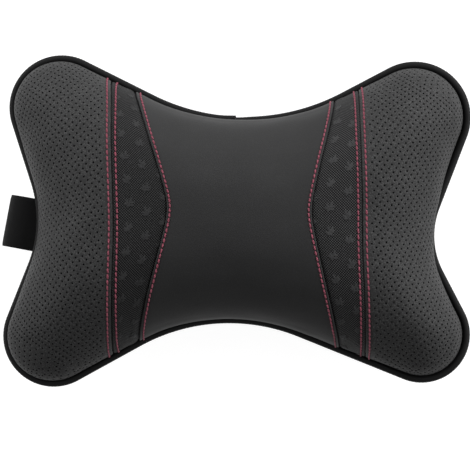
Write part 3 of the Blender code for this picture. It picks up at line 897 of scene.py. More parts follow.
def embossed_leathercloth(name, shade):
    """Matt coated cloth of the given shade: woven relief with painted shade in its pits and
    painted light on its ribs, and plain sprigs with a painted sheen.
    """
    material = leathercloth(name, (shade, shade, 1.02 * shade), 0.55)
    nodes, links = material.node_tree.nodes, material.node_tree.links
    colour = nodes["Principled BSDF"].inputs["Base Color"]
    tone = colour.links[0].from_socket
    weave = nodes.new("ShaderNodeGroup")
    weave.node_tree = PRESSED_WEAVE
    weave.inputs["Ribs per millimetre"].default_value = MM / WEAVE_PERIOD
    links.new(pattern_place(nodes, "pattern"), weave.inputs["Pattern"])
    sprig = nodes.new("ShaderNodeAttribute")
    sprig.attribute_name = "sprig"
    woven = nodes.new("ShaderNodeMix")
    woven.inputs["B"].default_value = SPRIG_LEVEL
    links.new(sprig.outputs["Fac"], woven.inputs["Factor"])
    links.new(weave.outputs["Height"], woven.inputs["A"])
    height = woven.outputs["Result"]
    bumped(nodes, links, height, WEAVE_DEPTH, nodes["Bump"].inputs["Normal"])
    # Painted shade and light: the colour darkens in the weave's pits and lightens on its ribs.
    sharpened_weave_shade = calculated(nodes, links, "POWER", height, WEAVE_SHADE_CONTRAST)
    painted_weave_shade = calculated(nodes, links, "MULTIPLY", sharpened_weave_shade, WEAVE_SHADE_GAIN)
    sprigs = sprig.outputs["Fac"]
    # Painted sheen: the raised sprigs are made lighter than the weave around them.
    weave_shade_and_sprig_sheen = calculated(nodes, links, "MULTIPLY_ADD", sprigs, SPRIG_PAINTED_SHEEN, painted_weave_shade)
    links.new(shaded(nodes, links, tone, weave_shade_and_sprig_sheen), colour)
    return material


def embossed_strip(name, node, edges, shade):
    strip_v = stitch_stations(EMBOSSED_ROWS_PER_STITCH)
    u, v, lift = panel_points(strip_v, *edges, EMBOSSED_SPACING)
    stitch_column = [offset for offset, _ in PRESSED_EDGE].index(STITCH_OFFSET)
    column = stitch_column if edges[1] is PRESSED_EDGE else -1 - stitch_column
    dimple_stitch_holes(lift, [column], EMBOSSED_ROWS_PER_STITCH)
    flat = flat_pattern(front(u, v))
    sprigs = sprig_field(flat[..., 0], flat[..., 1])
    margins = [
        SPRIG_FREE_MARGIN if edge is PRESSED_EDGE else SPRIG_TUCKED_MARGIN
        for edge in (edges[1], edges[3])
    ]
    beside_seam = np.minimum(
        u - seam_u(edges[0], strip_v, margins[0])[:, None],
        seam_u(edges[2], strip_v, -margins[1])[:, None] - u,
    )
    sprigs = sprigs * (beside_seam > 0)
    cloth = embossed_leathercloth(name + "cloth", shade)
    strip = sewn_skin(name, u, v, lift + SPRIG_HEIGHT * sprigs, cloth)
    stored = strip.data.attributes.new("sprig", "FLOAT", "POINT")
    values = np.zeros(len(strip.data.vertices))
    values[: sprigs.size] = sprigs.ravel()
    stored.data.foreach_set("value", values)
    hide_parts(node)


# The right strip is given a lighter shade than the left: painted light, for the stronger light
# that falls on it.
embossed_strip(
    "left_embossed_leather",
    "left_embossed_panel",
    ("left_straight", PRESSED_EDGE, "left_curve", TUCKED_EDGE),
    0.0164,
)
embossed_strip(
    "right_embossed_leather",
    "right_embossed_panel",
    ("right_curve", TUCKED_EDGE, "right_straight", PRESSED_EDGE),
    0.0215,
)

# Perforated panels: leathercloth punched with small holes in slanting rows, over the
# lobes and the side waists. Each hole is cut through the coating, down to the backing.

HOLE_RADIUS = 0.6 * MM
HOLE_LIP = 0.08 * MM
LIP_RADIUS = HOLE_RADIUS + HOLE_LIP
HOLE_SIDES = 10
HOLE_DEPTH = 1.0 * MM
LEFT_HOLE_STEPS = ((4.68 * MM, 0.84 * MM), (2.7 * MM, -2.14 * MM))
RIGHT_HOLE_STEPS = ((4.83 * MM, 0.52 * MM), (2.92 * MM, -2.23 * MM))
LEAST_HOLE_GAP = 2.4 * MM
HOLE_SEAM_MARGIN = 4.2 * MM
HOLE_RIM_MARGIN = 3.6 * MM
MESH_STEP = 1.9 * MM
LINING_STEP = 7.0 * MM
FLANK_SPREAD = 24.0 * MM
perforated_leather = leathercloth(
    "perforated_leathercloth",
    (0.062, 0.062, 0.0626),
    0.5,
    pebbles=1100.0,
    grain_depth=0.1 * MM,
    painted_grain_shade=0.42,
)


def backing_material():
    """Black knitted backing, seen down the punched holes."""
    material, nodes, links, shader = new_material("punched_backing", 0.95, 0.05)
    knit = texture(nodes, links, "Noise", object_place(nodes), Scale=2500.0)
    tone = two_tones(nodes, links, knit, (0.002, 0.002, 0.002), (0.006, 0.006, 0.006))
    links.new(tone, shader.inputs["Base Color"])
    return material


punched_backing = backing_material()


def flattened(u, v):
    """Flat map of the front, on which its steep flanks are laid down outside the rim."""
    share = crown(u, v, FRONT_FULLNESS)
    return plan(u, v, RIM_INSET - FLANK_SPREAD * (1 - share) ** 1.6)


def even_shares(path, spacing):
    """Shares of a path at even distances along it."""
    fine = np.linspace(0, 1, 700)
    length = distance_along(path(fine))
    count = max(1, round(length[-1] / spacing))
    return np.interp(np.linspace(0, length[-1], count + 1), length, fine)


def nearest_on_front(targets, u, v, rounds=4):
    """u and v of the front's points nearest to the targets, from a near guess."""
    for _ in range(rounds):
        along_u, along_v = tangents(front, u, v)
        miss = targets - front(u, v)
        uu, vv, uv = (
            (a * b).sum(-1)
            for a, b in ((along_u, along_u), (along_v, along_v), (along_u, along_v))
        )
        miss_u, miss_v = (along_u * miss).sum(-1), (along_v * miss).sum(-1)
        scale = np.maximum(1e-12, uu * vv - uv * uv)
        u = np.clip(u + np.clip((vv * miss_u - uv * miss_v) / scale, -0.04, 0.04), 0, 1)
        v = np.clip(v + np.clip((uu * miss_v - uv * miss_u) / scale, -0.04, 0.04), 0, 1)
    return u, v


def walked(u, v, across, up):
    """Points moved over the cloth by distances across it and up it."""
    normal = outward(front, u, v)
    east = np.stack([normal[..., 2], np.zeros_like(u), -normal[..., 0]], axis=-1)
    east /= np.maximum(1e-9, np.linalg.norm(east, axis=-1, keepdims=True))
    north = np.cross(normal, east)
    step = np.asarray(across)[..., None] * east + np.asarray(up)[..., None] * north
    return nearest_on_front(front(u, v) + step, u, v)


def marched(u, v, step, count):
    """The points, and every point that count steps either way over the cloth reach."""
    found = [(u, v)]
    for sign in (1, -1):
        here = (u, v)
        for _ in range(count):
            here = walked(*here, sign * step[0], sign * step[1])
            found.append(here)
    return tuple(np.concatenate([pair[k] for pair in found]) for k in (0, 1))


def gap_to(points, others):
    """Distance from each point to the nearest of the others."""
    nearest = np.full(len(points), np.inf)
    for start in range(0, len(points), 2000):
        block = points[start : start + 2000, None, :] - others[None, :, :]
        nearest[start : start + 2000] = np.sqrt((block**2).sum(-1)).min(axis=1)
    return nearest


def spaced_apart(points, least):
    """Indices of the points that lie at least this far from every one picked before them."""
    picked = [0]
    for k, point in enumerate(points):
        if np.linalg.norm(points[picked] - point, axis=1).min() > least:
            picked.append(k)
    return np.array(picked)


def cell_picks(place, spacing):
    """Indices of one point in each cell of a staggered lattice over the flat map."""
    row = np.round(place[:, 1] / (spacing * 0.866))
    shift = 0.5 * (row % 2)
    column = np.round(place[:, 0] / spacing - shift)
    centre = np.stack([(column + shift) * spacing, row * spacing * 0.866], axis=1)
    order = np.argsort(((place - centre) ** 2).sum(axis=1))
    cells = np.stack([row, column], axis=1)[order]
    return order[np.unique(cells, axis=0, return_index=True)[1]]


def triangulated(place, rim_count):
    """Triangles over points of the flat map, inside the first rim_count of them."""
    rim = [(k, (k + 1) % rim_count) for k in range(rim_count)]
    points = [Vector(point) for point in (place / MM).tolist()]
    made = delaunay_2d_cdt(points, rim, [], 1, 1e-6)
    source = [origin[0] for origin in made[3]]
    return [[source[k] for k in face] for face in made[2]]


def hole_centres(seam, side, steps):
    row_step, next_row = steps
    up_step = (2 * next_row[0] - row_step[0], 2 * next_row[1] - row_step[1])
    v = np.array([0.47])
    u = seam_u(seam, v, side * 24 * MM)
    u, v = marched(u, v, up_step, 26)
    odd_u, odd_v = walked(u, v, *next_row)
    return marched(np.concatenate([u, odd_u]), np.concatenate([v, odd_v]), row_step, 24)


def rim_stretch(u_from, u_to, v_from, v_to):
    """Even steps of u and v along the rim, after the first place and up to the last."""

    def path(share):
        return front(u_from + (u_to - u_from) * share, v_from + (v_to - v_from) * share)

    share = even_shares(path, MESH_STEP)[1:]
    return np.stack([u_from + (u_to - u_from) * share, v_from + (v_to - v_from) * share], 1)


def panel_rim(edge_u, rim_u):
    """u and v round the panel: up its seam, then along the pillow's rim and back."""
    high_edge = np.stack([edge_u[-1, 1:], np.ones(edge_u.shape[1] - 1)], axis=1)
    low_edge = np.stack([edge_u[0, 1:], np.zeros(edge_u.shape[1] - 1)], axis=1)
    return np.concatenate(
        [
            np.stack([edge_u[:, 0], ROW_V], axis=1),
            high_edge,
            rim_stretch(edge_u[-1, -1], rim_u, 1.0, 1.0),
            rim_stretch(rim_u, rim_u, 1.0, 0.0),
            rim_stretch(rim_u, edge_u[0, -1], 0.0, 0.0)[:-1],
            low_edge[::-1],
        ]
    )


def punched_places(seam, side, steps, rim_points):
    """u and v of the holes that keep clear of the seam, the rim and each other."""
    hole_u, hole_v = hole_centres(seam, side, steps)
    hole_plan = plan(hole_u, hole_v, RIM_INSET)
    seam_gap = side * (hole_plan[:, 0] - SEAMS[seam](hole_plan[:, 1]))
    rim_gap = gap_to(front(hole_u, hole_v), rim_points)
    kept = (seam_gap > HOLE_SEAM_MARGIN) & (rim_gap > HOLE_RIM_MARGIN)
    hole_u, hole_v = hole_u[kept], hole_v[kept]
    kept = spaced_apart(front(hole_u, hole_v), LEAST_HOLE_GAP)
    return hole_u[kept], hole_v[kept]


def hole_lips(hole_u, hole_v):
    """u and v round the lip of every hole."""
    angle = np.arange(HOLE_SIDES) * 2 * np.pi / HOLE_SIDES
    spread_u, spread_v = (np.repeat(x[:, None], HOLE_SIDES, axis=1) for x in (hole_u, hole_v))
    turn = np.repeat(angle[None, :], len(hole_u), axis=0)
    across, up = LIP_RADIUS * np.cos(turn), LIP_RADIUS * np.sin(turn)
    lip_u, lip_v = walked(spread_u, spread_v, across, up)
    return np.stack([lip_u.ravel(), lip_v.ravel()], axis=1)


def dense_places(seam, side, rim_u, rim_points):
    """A dense grid of u and v over the panel, without those close to its rim."""
    fine_v = (1 - np.cos(np.pi * np.linspace(0.02, 0.98, 420))) / 2
    across = np.linspace(0.004, 0.996, 150) ** 1.5
    outer_u = seam_u(seam, fine_v, side * (PRESSED_EDGE[-1][0] + MESH_STEP / 2))
    grid_u = rim_u + (outer_u[:, None] - rim_u) * across[None, :]
    grid_v = np.repeat(fine_v[:, None], len(across), axis=1)
    dense = np.stack([grid_u.ravel(), grid_v.ravel()], axis=1)
    clear = gap_to(front(dense[:, 0], dense[:, 1]), rim_points) > 0.6 * MESH_STEP
    return dense[clear]


def hole_wall(bm, lip_verts, lip_places, centre, axis):
    """The wall of one hole, down from its lip, and the backing that closes it."""
    above = lip_verts
    for radius, depth in ((HOLE_RADIUS, 0.07 * MM), (HOLE_RADIUS * 0.95, HOLE_DEPTH)):
        below = [
            bm.verts.new(centre + (point - centre) * radius / LIP_RADIUS - axis * depth)
            for point in lip_places
        ]
        for k in range(HOLE_SIDES):
            after = (k + 1) % HOLE_SIDES
            wall = bm.faces.new((above[k], above[after], below[after], below[k]))
            wall.material_index = int(depth == HOLE_DEPTH)
        above = below
    bm.faces.new(above).material_index = 1


def perforated_panel(name, node, seam, side, steps):
    """side is -1 for the left panel and 1 for the right one."""
    rim_u = 0.0 if side < 0 else 1.0
    edge_u = np.stack(
        [seam_u(seam, ROW_V, side * offset) for offset, _ in PRESSED_EDGE], axis=1
    )
    rim = panel_rim(edge_u, rim_u)
    edge_rows = ROW_V[1:-1, None] + 0 * edge_u[1:-1, 1:]
    edge_inner = np.stack([edge_u[1:-1, 1:].ravel(), edge_rows.ravel()], axis=1)
    rim_points = front(rim[len(ROW_V) :, 0], rim[len(ROW_V) :, 1])
    hole_u, hole_v = punched_places(seam, side, steps, rim_points)
    lips = hole_lips(hole_u, hole_v)
    dense = dense_places(seam, side, rim_u, rim_points)
    hole_gap = gap_to(front(dense[:, 0], dense[:, 1]), front(hole_u, hole_v))
    field = dense[hole_gap > LIP_RADIUS + 0.45 * MM]
    picked = field[cell_picks(flattened(field[:, 0], field[:, 1]), MESH_STEP)]
    lining = dense[cell_picks(flattened(dense[:, 0], dense[:, 1]), LINING_STEP)]

    uv = np.concatenate([rim, edge_inner, lips, picked])
    base, normal = front(uv[:, 0], uv[:, 1]), outward(front, uv[:, 0], uv[:, 1])
    uv_plan = plan(uv[:, 0], uv[:, 1], RIM_INSET)
    offset = side * (uv_plan[:, 0] - SEAMS[seam](uv_plan[:, 1]))
    profile_offset, profile_lift = np.array(PRESSED_EDGE).T
    lift = np.interp(offset, profile_offset, profile_lift)
    columns = len(PRESSED_EDGE) - 1
    stitch_column = list(profile_offset).index(STITCH_OFFSET) - 1
    needle_rows = np.arange(ROWS_PER_STITCH, ROWS, ROWS_PER_STITCH) - 1
    lift[len(rim) + needle_rows * columns + stitch_column] -= DIMPLE
    place = base + normal * lift[:, None]

    bm = bmesh.new()
    skin = [bm.verts.new(point) for point in place]
    first_lip = len(rim) + len(edge_inner)
    last_lip = first_lip + len(lips)
    for face in triangulated(flattened(uv[:, 0], uv[:, 1]), len(rim)):
        holes = {(k - first_lip) // HOLE_SIDES if first_lip <= k < last_lip else -1 for k in face}
        if len(holes) > 1 or -1 in holes:
            bm.faces.new([skin[k] for k in face])
    for hole, (centre, axis) in enumerate(
        zip(front(hole_u, hole_v), outward(front, hole_u, hole_v))
    ):
        ring = slice(first_lip + hole * HOLE_SIDES, first_lip + (hole + 1) * HOLE_SIDES)
        hole_wall(bm, skin[ring], place[ring], centre, axis)
    inner_uv = np.concatenate([rim, lining])
    inner_place = front(inner_uv[:, 0], inner_uv[:, 1], COVER_THICKNESS)
    inner = [bm.verts.new(point) for point in inner_place]
    for face in triangulated(flattened(inner_uv[:, 0], inner_uv[:, 1]), len(rim)):
        bm.faces.new([inner[k] for k in face])
    for k in range(len(rim)):
        after = (k + 1) % len(rim)
        bm.faces.new((skin[k], skin[after], inner[after], inner[k]))
    piece = add_piece(name, bm, perforated_leather)
    piece.data.materials.append(punched_backing)
    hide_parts(node)


perforated_panel(
    "left_perforated_leather", "left_perforated_panel", "left_straight", -1, LEFT_HOLE_STEPS
)
perforated_panel(
    "right_perforated_leather", "right_perforated_panel", "right_straight", 1, RIGHT_HOLE_STEPS
)

# Back: one plain sheet of leathercloth, pressed flat where the pillow lies on it.

BACK_COLUMNS = 96
BACK_ROWS = 72
back_leathercloth = leathercloth("back_leathercloth", (0.024, 0.024, 0.0245), 0.5)


def cover_grid(columns, rows):
    """u and v over the whole outline, closer together towards the rim."""
    even_u, even_v = np.linspace(0, 1, columns + 1), np.linspace(0, 1, rows + 1)
    u, v = ((1 - np.cos(np.pi * even)) / 2 * 0.7 + even * 0.3 for even in (even_u, even_v))
    return np.meshgrid(u, v)


back_u, back_v = cover_grid(BACK_COLUMNS, BACK_ROWS)
back_place = back(back_u, back_v)
back_leather = skin_between(
    "back_leather",
    back_place,
    back(back_u, back_v, COVER_THICKNESS),
    flat_pattern(back_place),
    back_leathercloth,
)
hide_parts("back_cover")

# Filling: siliconised polyester fibre, blown in through the last stretch of the seam.

FILLING_PLAY = 0.5 * MM


def fibre_material():
    """Loose white fibre in soft tufts."""
    material, nodes, links, shader = new_material("polyester_fibre", 0.9)
    place = object_place(nodes)
    tufts = texture(nodes, links, "Noise", place, Scale=160.0, Detail=8.0, Distortion=2.0)
    tone = two_tones(nodes, links, tufts, (0.68, 0.68, 0.66), (0.84, 0.84, 0.83))
    links.new(tone, shader.inputs["Base Color"])
    bumped(nodes, links, tufts, 0.6 * MM, shader.inputs["Normal"])
    return material


filling_u, filling_v = cover_grid(48, 36)
filling_depth = COVER_THICKNESS + FILLING_PLAY
filling_place = front(filling_u, filling_v, filling_depth)
fibre_batt = skin_between(
    "fibre_batt",
    filling_place,
    back(filling_u, filling_v, filling_depth),
    flat_pattern(filling_place),
    fibre_material(),
)
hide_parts("fibre_filling")

# Piping: a strip of leathercloth folded round a cord and caught in the outer seam. Its
# ends meet with a small step, at the middle of the top waist.

PIPING_STRIP_THICKNESS = 0.9 * MM
PIPING_JOINT_X = 1.0 * MM
PIPING_STEP = 1.1 * MM
PIPING_HALF_FLANGE = 0.4 * MM
PIPING_FLANGE_REACH = 0.8 * MM
PIPING_END_SHIFT = 0.55 * MM
PIPING_END_LENGTH = 7 * MM
PIPING_RIPPLE = 0.05 * MM
BEAD_POINTS = 22
piping_leather = leathercloth("piping_leathercloth", (0.012, 0.012, 0.0123), 0.42)
outline_points = joined([RIGHT_SIDE[1], TOP_SIDE[1], LEFT_SIDE[1], BOTTOM_SIDE[1]])[1]


def piping_line():
    """Even points and normals round the outline, from the joint and back to it."""
    near_top = outline_points[:, 1] > 0
    joint = np.argmin(np.abs(outline_points[:, 0] - PIPING_JOINT_X) + 1.0 * ~near_top)
    turned = np.vstack([outline_points[joint:], outline_points[:joint]])
    length = distance_along(turned[:, :2])
    even = np.linspace(0, length[-1], round(length[-1] / PIPING_STEP))
    line = np.stack([np.interp(even, length, turned[:, k]) for k in range(4)], axis=1)
    return even, line


def piping_bead():
    along, line = piping_line()
    middle = PIPING_DIAMETER / 2
    first = math.asin(PIPING_HALF_FLANGE / middle)
    angles = np.linspace(first, 2 * math.pi - first, BEAD_POINTS - 1)
    section = [(RIM_INSET + PIPING_FLANGE_REACH, PIPING_HALF_FLANGE)]
    section += [(middle + middle * math.cos(a), middle * math.sin(a)) for a in angles]
    section += [(RIM_INSET + PIPING_FLANGE_REACH, -PIPING_HALF_FLANGE)]
    bore_radius = middle - PIPING_STRIP_THICKNESS
    bore_angles = np.linspace(0, 2 * math.pi, len(section), endpoint=False)
    bore = [
        (middle + bore_radius * math.cos(a), bore_radius * math.sin(a)) for a in bore_angles
    ]
    to_end = np.minimum(along, along[-1] - along)
    left_end = np.exp(-((along / PIPING_END_LENGTH) ** 2))
    right_end = np.exp(-(((along[-1] - along) / PIPING_END_LENGTH) ** 2))
    shift_out = PIPING_END_SHIFT * left_end - PIPING_END_SHIFT * right_end
    ripple = PIPING_RIPPLE * np.sin(along / (0.37 * MM) + 2 * np.sin(along / (9 * MM)))
    ripple = ripple * np.clip(to_end / (5 * MM), 0, 1)
    bm = bmesh.new()
    grids = []
    for loop, swell in ((section, 1.0), (bore, 0.0)):
        loop = np.array(loop + loop[:1])
        inset = loop[None, :, 0] - shift_out[:, None]
        rise = np.repeat(loop[None, :, 1], len(along), axis=0)
        out = middle - loop[None, :, 0]
        inset = inset - swell * ripple[:, None] * np.clip(out / middle, -1, 1)
        rise = rise + swell * ripple[:, None] * loop[None, :, 1] / middle
        x = line[:, None, 0] + inset * line[:, None, 2] + FRAME_SHIFT[0]
        y = line[:, None, 1] + inset * line[:, None, 3] + FRAME_SHIFT[1]
        grids.append(placed_grid(bm, np.stack([x, y, SEAM_HEIGHT + rise], axis=-1)))
    outer, inner = grids
    for row in (0, len(along) - 1):
        for k in range(len(section)):
            corners = outer[row, k], outer[row, k + 1], inner[row, k + 1], inner[row, k]
            bm.faces.new(corners)
    bmesh.ops.remove_doubles(bm, verts=bm.verts, dist=1e-6)
    piece = add_piece("piping_bead", bm, piping_leather)
    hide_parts("piping_cover")


piping_bead()


def cord_material():
    """Twisted cord inside the piping; it is covered all round."""
    material, nodes, links, shader = new_material("piping_cord_fibre", 0.85)
    strands = texture(nodes, links, "Wave", object_place(nodes), bands="DIAGONAL", Scale=300.0)
    tone = two_tones(nodes, links, strands, (0.45, 0.44, 0.41), (0.66, 0.65, 0.62))
    links.new(tone, shader.inputs["Base Color"])
    return material


cord_finish = cord_material()
for cord_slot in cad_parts["piping_cord"].material_slots:
    cord_slot.material = cord_finish

# Topstitching: red polyester thread beside every panel seam. Each stitch dives into
# the leathercloth at both ends and stands up between them.

THREAD_RADIUS = 0.56 * MM
STITCH_GAP = 0.35 * MM
STITCH_SLANT = 0.12 * MM


def thread_material():
    """Twisted red thread, with painted shade between its strands and a painted highlight on them.
    """
    material, nodes, links, shader = new_material("red_thread", 0.55, 0.3)
    lie = pattern_place(nodes, "thread")
    strands = texture(nodes, links, "Wave", lie, bands="DIAGONAL", Scale=1.6, Distortion=0.6)
    # Painted light: the dark tone is painted shade between the strands, the light tone a painted
    # highlight on them.
    tone = two_tones(nodes, links, strands, (0.075, 0.0065, 0.015), (0.42, 0.1, 0.15))
    links.new(tone, shader.inputs["Base Color"])
    bumped(nodes, links, strands, 0.08 * MM, shader.inputs["Normal"])
    return material


red_thread = thread_material()


def topstitching(name, node, seam, side, edge, stitch_offset):
    """A row of single stitches at the edge profile's stitch line."""
    lift_there = dict(edge)[stitch_offset]
    holes_v = ROW_V[::ROWS_PER_STITCH]
    holes_u = seam_u(seam, holes_v, side * stitch_offset)
    holes = front(holes_u, holes_v)
    normals = outward(front, holes_u, holes_v)
    bm = bmesh.new()
    thread = bm.loops.layers.uv.new("thread")
    for k in range(len(holes) - 1):
        start, end = holes[k], holes[k + 1]
        middle_v = (holes_v[k] + holes_v[k + 1]) / 2
        middle_u = seam_u(seam, np.array([middle_v]), side * stitch_offset)[0]
        middle = front(middle_u, middle_v)
        up = normals[k] + normals[k + 1]
        up /= np.linalg.norm(up)
        reach = end - start
        length = np.linalg.norm(reach)
        reach /= length
        aside = np.cross(up, reach)
        made = bmesh.ops.create_uvsphere(
            bm, u_segments=8, v_segments=9, radius=1.0, calc_uvs=False
        )
        half = (length - STITCH_GAP) / 2
        bow = np.linalg.norm(middle - (start + end) / 2)
        for vert in made["verts"]:
            x, y, z = vert.co
            z = math.copysign(1 - (1 - abs(z)) ** 0.85, z)
            around = math.atan2(y, x)
            width = max(0.0, 1 - abs(z) ** 3.2) ** 0.5
            arch = lift_there + bow * (1 - z * z) + 0.3 * MM - 0.5 * MM * z**4
            place = (
                (start + end) / 2
                + reach * z * half
                + aside * (THREAD_RADIUS * width * math.cos(around) + STITCH_SLANT * z)
                + up * (THREAD_RADIUS * width * math.sin(around) + arch)
            )
            vert.co = place
            for loop in vert.link_loops:
                loop[thread].uv = (around / math.pi, z * 2 + k * 4)
    piece = add_piece(name, bm, red_thread)
    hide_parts(node)


for name, node, seam, side, edge in (
    ("left_outer_thread", "left_outer_stitching", "left_straight", -1, PRESSED_EDGE),
    ("left_inner_thread", "left_inner_stitching", "left_straight", 1, PRESSED_EDGE),
    ("left_curve_thread", "left_curve_stitching", "left_curve", 1, LAPPED_EDGE),
    ("right_curve_thread", "right_curve_stitching", "right_curve", -1, LAPPED_EDGE),
    ("right_inner_thread", "right_inner_stitching", "right_straight", -1, PRESSED_EDGE),
    ("right_outer_thread", "right_outer_stitching", "right_straight", 1, PRESSED_EDGE),
):
    stitch_offset = LAPPED_STITCH_OFFSET if edge is LAPPED_EDGE else STITCH_OFFSET
    topstitching(name, node, seam, side, edge, stitch_offset)

# Strap: a band of woven elastic, sewn in under the left piping. It loops down and runs
# beneath the back to the right piping, and holds the pillow on a headrest.

STRAP_WIDTH = 34.0 * MM
STRAP_THICKNESS = 1.5 * MM
STRAP_PLAY = 0.5 * MM
STRAP_REACH = 23.0 * MM
STRAP_TILT = math.radians(10.5)
STRAP_LEFT_Y = -4.0 * MM
STRAP_RIGHT_Y = -11.0 * MM
STRAP_RIGHT_SLOPE = 0.04
STRAP_COLUMNS = 28


def strap_material():
    """Black elastic: ribs run along it, and fine picks cross them."""
    material, nodes, links, shader = new_material("woven_elastic", 0.6, 0.05)
    lie = pattern_place(nodes, "pattern")
    ribs = texture(nodes, links, "Wave", lie, bands="X", Scale=0.42)
    picks = texture(nodes, links, "Wave", lie, bands="Y", Scale=0.6)
    weave = calculated(nodes, links, "MULTIPLY", ribs, picks)
    tone = two_tones(nodes, links, weave, (0.002, 0.002, 0.0021), (0.0065, 0.0065, 0.0068))
    links.new(tone, shader.inputs["Base Color"])
    bumped(nodes, links, weave, 0.25 * MM, shader.inputs["Normal"])
    return material


strap_along = np.array([-math.cos(STRAP_TILT), math.sin(STRAP_TILT)])
strap_across = np.array([strap_along[1], -strap_along[0]])
strap_w = STRAP_WIDTH * (np.linspace(-1, 1, STRAP_COLUMNS + 1) / 2)
loop_top = SEAM_HEIGHT - PIPING_DIAMETER / 2 - PLAY - STRAP_THICKNESS / 2
loop_radius = (loop_top - STRAP_THICKNESS / 2) / 2


def strap_left_end():
    """Middle of the strap's left end, and the ends of its columns, on the seam line."""
    low, high = np.zeros(1), np.ones(1)
    v = zero_where(lambda v: plan(0, v, RIM_INSET)[..., 1] - STRAP_LEFT_Y, low, high)
    anchor = plan(0, v, RIM_INSET)[0]

    def beyond(v):
        return (plan(0, v, RIM_INSET - PLAY) - anchor) @ strap_across - strap_w

    v = zero_where(beyond, np.zeros_like(strap_w), np.ones_like(strap_w))
    return anchor, plan(0, v, RIM_INSET - PLAY)


strap_anchor, strap_ends = strap_left_end()
loop_middle = strap_anchor + strap_along * (
    RIM_INSET + STRAP_REACH - loop_radius - STRAP_THICKNESS / 2
)
strap_span = plan(1, 0.5, RIM_INSET)[0] - loop_middle[0]


def strap_y(x):
    """Middle of the strap under the pillow: a cubic from the loop to the right waist."""
    t = np.clip((x - loop_middle[0]) / strap_span, 0, 1)
    leaving = strap_span * strap_along[1] / strap_along[0]
    arriving = strap_span * STRAP_RIGHT_SLOPE
    return (
        (2 * t**3 - 3 * t**2 + 1) * loop_middle[1]
        + (t**3 - 2 * t**2 + t) * leaving
        + (3 * t**2 - 2 * t**3) * STRAP_RIGHT_Y
        + (t**3 - t**2) * arriving
    )


def strap_rows():
    """Points and outward normals of the strap's middle surface, row by row."""
    count = len(strap_w)
    rows = []
    top = STRAP_THICKNESS / 2 + 2 * loop_radius
    starts = loop_middle + strap_w[:, None] * strap_across
    for share in np.linspace(0, 1, 8)[:-1]:
        place = strap_ends * (1 - share) + starts * share
        rows.append((np.column_stack([place, np.full(count, top)]), np.array([0, 0, 1.0])))
    for angle in np.linspace(0, math.pi, 40):
        away = np.array([*(math.sin(angle) * strap_along), math.cos(angle)])
        centre = np.column_stack([starts, np.full(count, STRAP_THICKNESS / 2 + loop_radius)])
        rows.append((centre + loop_radius * away, away))
    end_x = (RIGHT_WAIST[0] + LEFT_WAIST[0]) / 2
    for share in np.linspace(0, 1, 40)[1:-1]:
        x = starts[:, 0] + (end_x - starts[:, 0]) * share
        y = strap_y(x) + strap_w * (strap_across[1] * (1 - share) + share)
        place = np.column_stack([x, y, np.full(count, STRAP_THICKNESS / 2)])
        rows.append((place, np.array([0, 0, -1.0])))

    def v_on_back(u):
        def beyond(v):
            place = plan(u, v, RIM_INSET)
            return place[..., 1] - strap_y(place[..., 0]) - strap_w

        return zero_where(beyond, np.zeros_like(strap_w), np.ones_like(strap_w))

    first_u = zero_where(
        lambda u: plan(u, v_on_back(u), RIM_INSET)[..., 0] - end_x,
        np.zeros_like(strap_w),
        np.ones_like(strap_w),
        24,
    )
    seam_level = SEAM_HEIGHT - PIPING_DIAMETER / 2 - 2 * PLAY
    last_u = zero_where(
        lambda u: back(u, v_on_back(u))[..., 2] - seam_level,
        np.full_like(strap_w, 0.5),
        np.ones_like(strap_w),
        24,
    )
    shift = np.array([*FRAME_SHIFT, 0])
    for share in np.linspace(0, 1, 60):
        u = last_u - (last_u - first_u) * (1 - share) ** 3
        v = v_on_back(u)
        normal = outward(back, u, v)
        lift = STRAP_PLAY + STRAP_THICKNESS / 2
        rows.append((back(u, v) - shift + lift * normal, normal))
    return rows


def strap_webbing():
    rows = strap_rows()
    middle = np.stack([place for place, _ in rows]) + np.array([*FRAME_SHIFT, 0])
    normal = np.stack([np.broadcast_to(away, place.shape) for place, away in rows])
    edge = np.abs(2 * strap_w / STRAP_WIDTH)
    half = STRAP_THICKNESS / 2 * (1 - 0.6 * edge**14)
    along = distance_along(middle[:, STRAP_COLUMNS // 2])
    flat = np.stack(np.meshgrid(strap_w, along), axis=-1)
    offset = half[None, :, None] * normal
    piece = skin_between(
        "strap_webbing", middle + offset, middle - offset, flat, strap_material()
    )
    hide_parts("elastic_strap")


strap_webbing()

# Studio: the pillow lies on a floor that shows white, under five soft lamps that stand
# beyond its top edge, its upper corners and its sides.

FLOOR_GLOW = 0.95
SKY_STRENGTH = 0.02
SOFTBOX_SIZE = 0.9


def seen_background(nodes, links):
    """1 for a ray on which the background shows: seen, mirrored or through glass."""
    paths = nodes.new("ShaderNodeLightPath")
    seen = paths.outputs["Is Camera Ray"]
    for kind in ("Is Glossy Ray", "Is Transmission Ray"):
        seen = calculated(nodes, links, "MAXIMUM", seen, paths.outputs[kind])
    return seen


def studio_floor():
    bm = bmesh.new()
    bmesh.ops.create_grid(bm, x_segments=1, y_segments=1, size=3.0)
    mesh = bpy.data.meshes.new("studio_floor")
    bm.to_mesh(mesh)
    bm.free()
    material, nodes, links, shader = new_material("studio_floor", 0.9, 0.0)
    shader.inputs["Base Color"].default_value = (0.3, 0.3, 0.3, 1)
    shader.inputs["Emission Color"].default_value = (1, 1, 1, 1)
    glow = calculated(nodes, links, "MULTIPLY", seen_background(nodes, links), FLOOR_GLOW)
    links.new(glow, shader.inputs["Emission Strength"])
    mesh.materials.append(material)
    floor = bpy.data.objects.new("studio_floor", mesh)
    bpy.context.scene.collection.objects.link(floor)


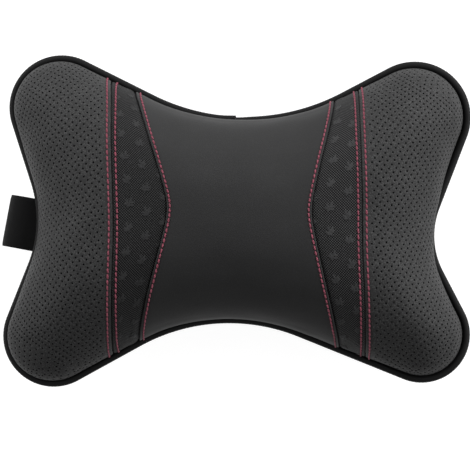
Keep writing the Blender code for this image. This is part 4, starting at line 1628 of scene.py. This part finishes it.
def studio_world():
    world = bpy.data.worlds.new("studio_world")
    bpy.context.scene.world = world
    world.use_nodes = True
    nodes, links = world.node_tree.nodes, world.node_tree.links
    background = nodes["Background"]
    background.inputs["Color"].default_value = (1, 1, 1, 1)
    strength = ranged(nodes, links, seen_background(nodes, links), SKY_STRENGTH, 1.0)
    links.new(strength, background.inputs["Strength"])


def softbox(name, place, power):
    """A square lamp that faces the middle of the pillow."""
    lamp = bpy.data.lights.new(name, "AREA")
    lamp.shape = "SQUARE"
    lamp.size = SOFTBOX_SIZE
    lamp.energy = power
    light = bpy.data.objects.new(name, lamp)
    light.location = place
    towards = Vector((0, 0, SEAM_HEIGHT)) - Vector(place)
    light.rotation_euler = towards.to_track_quat("-Z", "Y").to_euler()
    bpy.context.scene.collection.objects.link(light)


studio_floor()
studio_world()
for name, place, power in (
    ("upper_right_softbox", (0.77, 0.77, 0.51), 11.9),
    ("right_softbox", (1.09, 0.0, 0.51), 8.7),
    ("upper_left_softbox", (-0.77, 0.77, 0.51), 8.3),
    ("left_softbox", (-1.09, 0.0, 0.51), 5.7),
    ("top_softbox", (0.0, 1.09, 0.51), 2.8),
):
    softbox(name, place, power)

# Camera: nearly square to the pillow's front, a little to its right and below it.

CAMERA_AIM = (1.642 * MM, -9.335 * MM, 38.0 * MM)
CAMERA_DISTANCE = 1.4
CAMERA_YAW = math.radians(3.0)
CAMERA_PITCH = math.radians(2.0)
CAMERA_LENS = 166.25


def photograph_camera():
    camera = bpy.data.cameras.new("camera")
    camera.sensor_width = 36.0
    camera.lens = CAMERA_LENS
    holder = bpy.data.objects.new("camera", camera)
    bpy.context.scene.collection.objects.link(holder)
    away = Vector((math.tan(CAMERA_YAW), -math.tan(CAMERA_PITCH), 1.0)).normalized()
    right = Vector((0, 1, 0)).cross(away).normalized()
    axes = Matrix((right, away.cross(right), away)).transposed()
    place = Matrix.Translation(Vector(CAMERA_AIM) + CAMERA_DISTANCE * away)
    holder.matrix_world = place @ axes.to_4x4()
    bpy.context.scene.camera = holder


photograph_camera()
bpy.context.scene.view_settings.view_transform = "Standard"
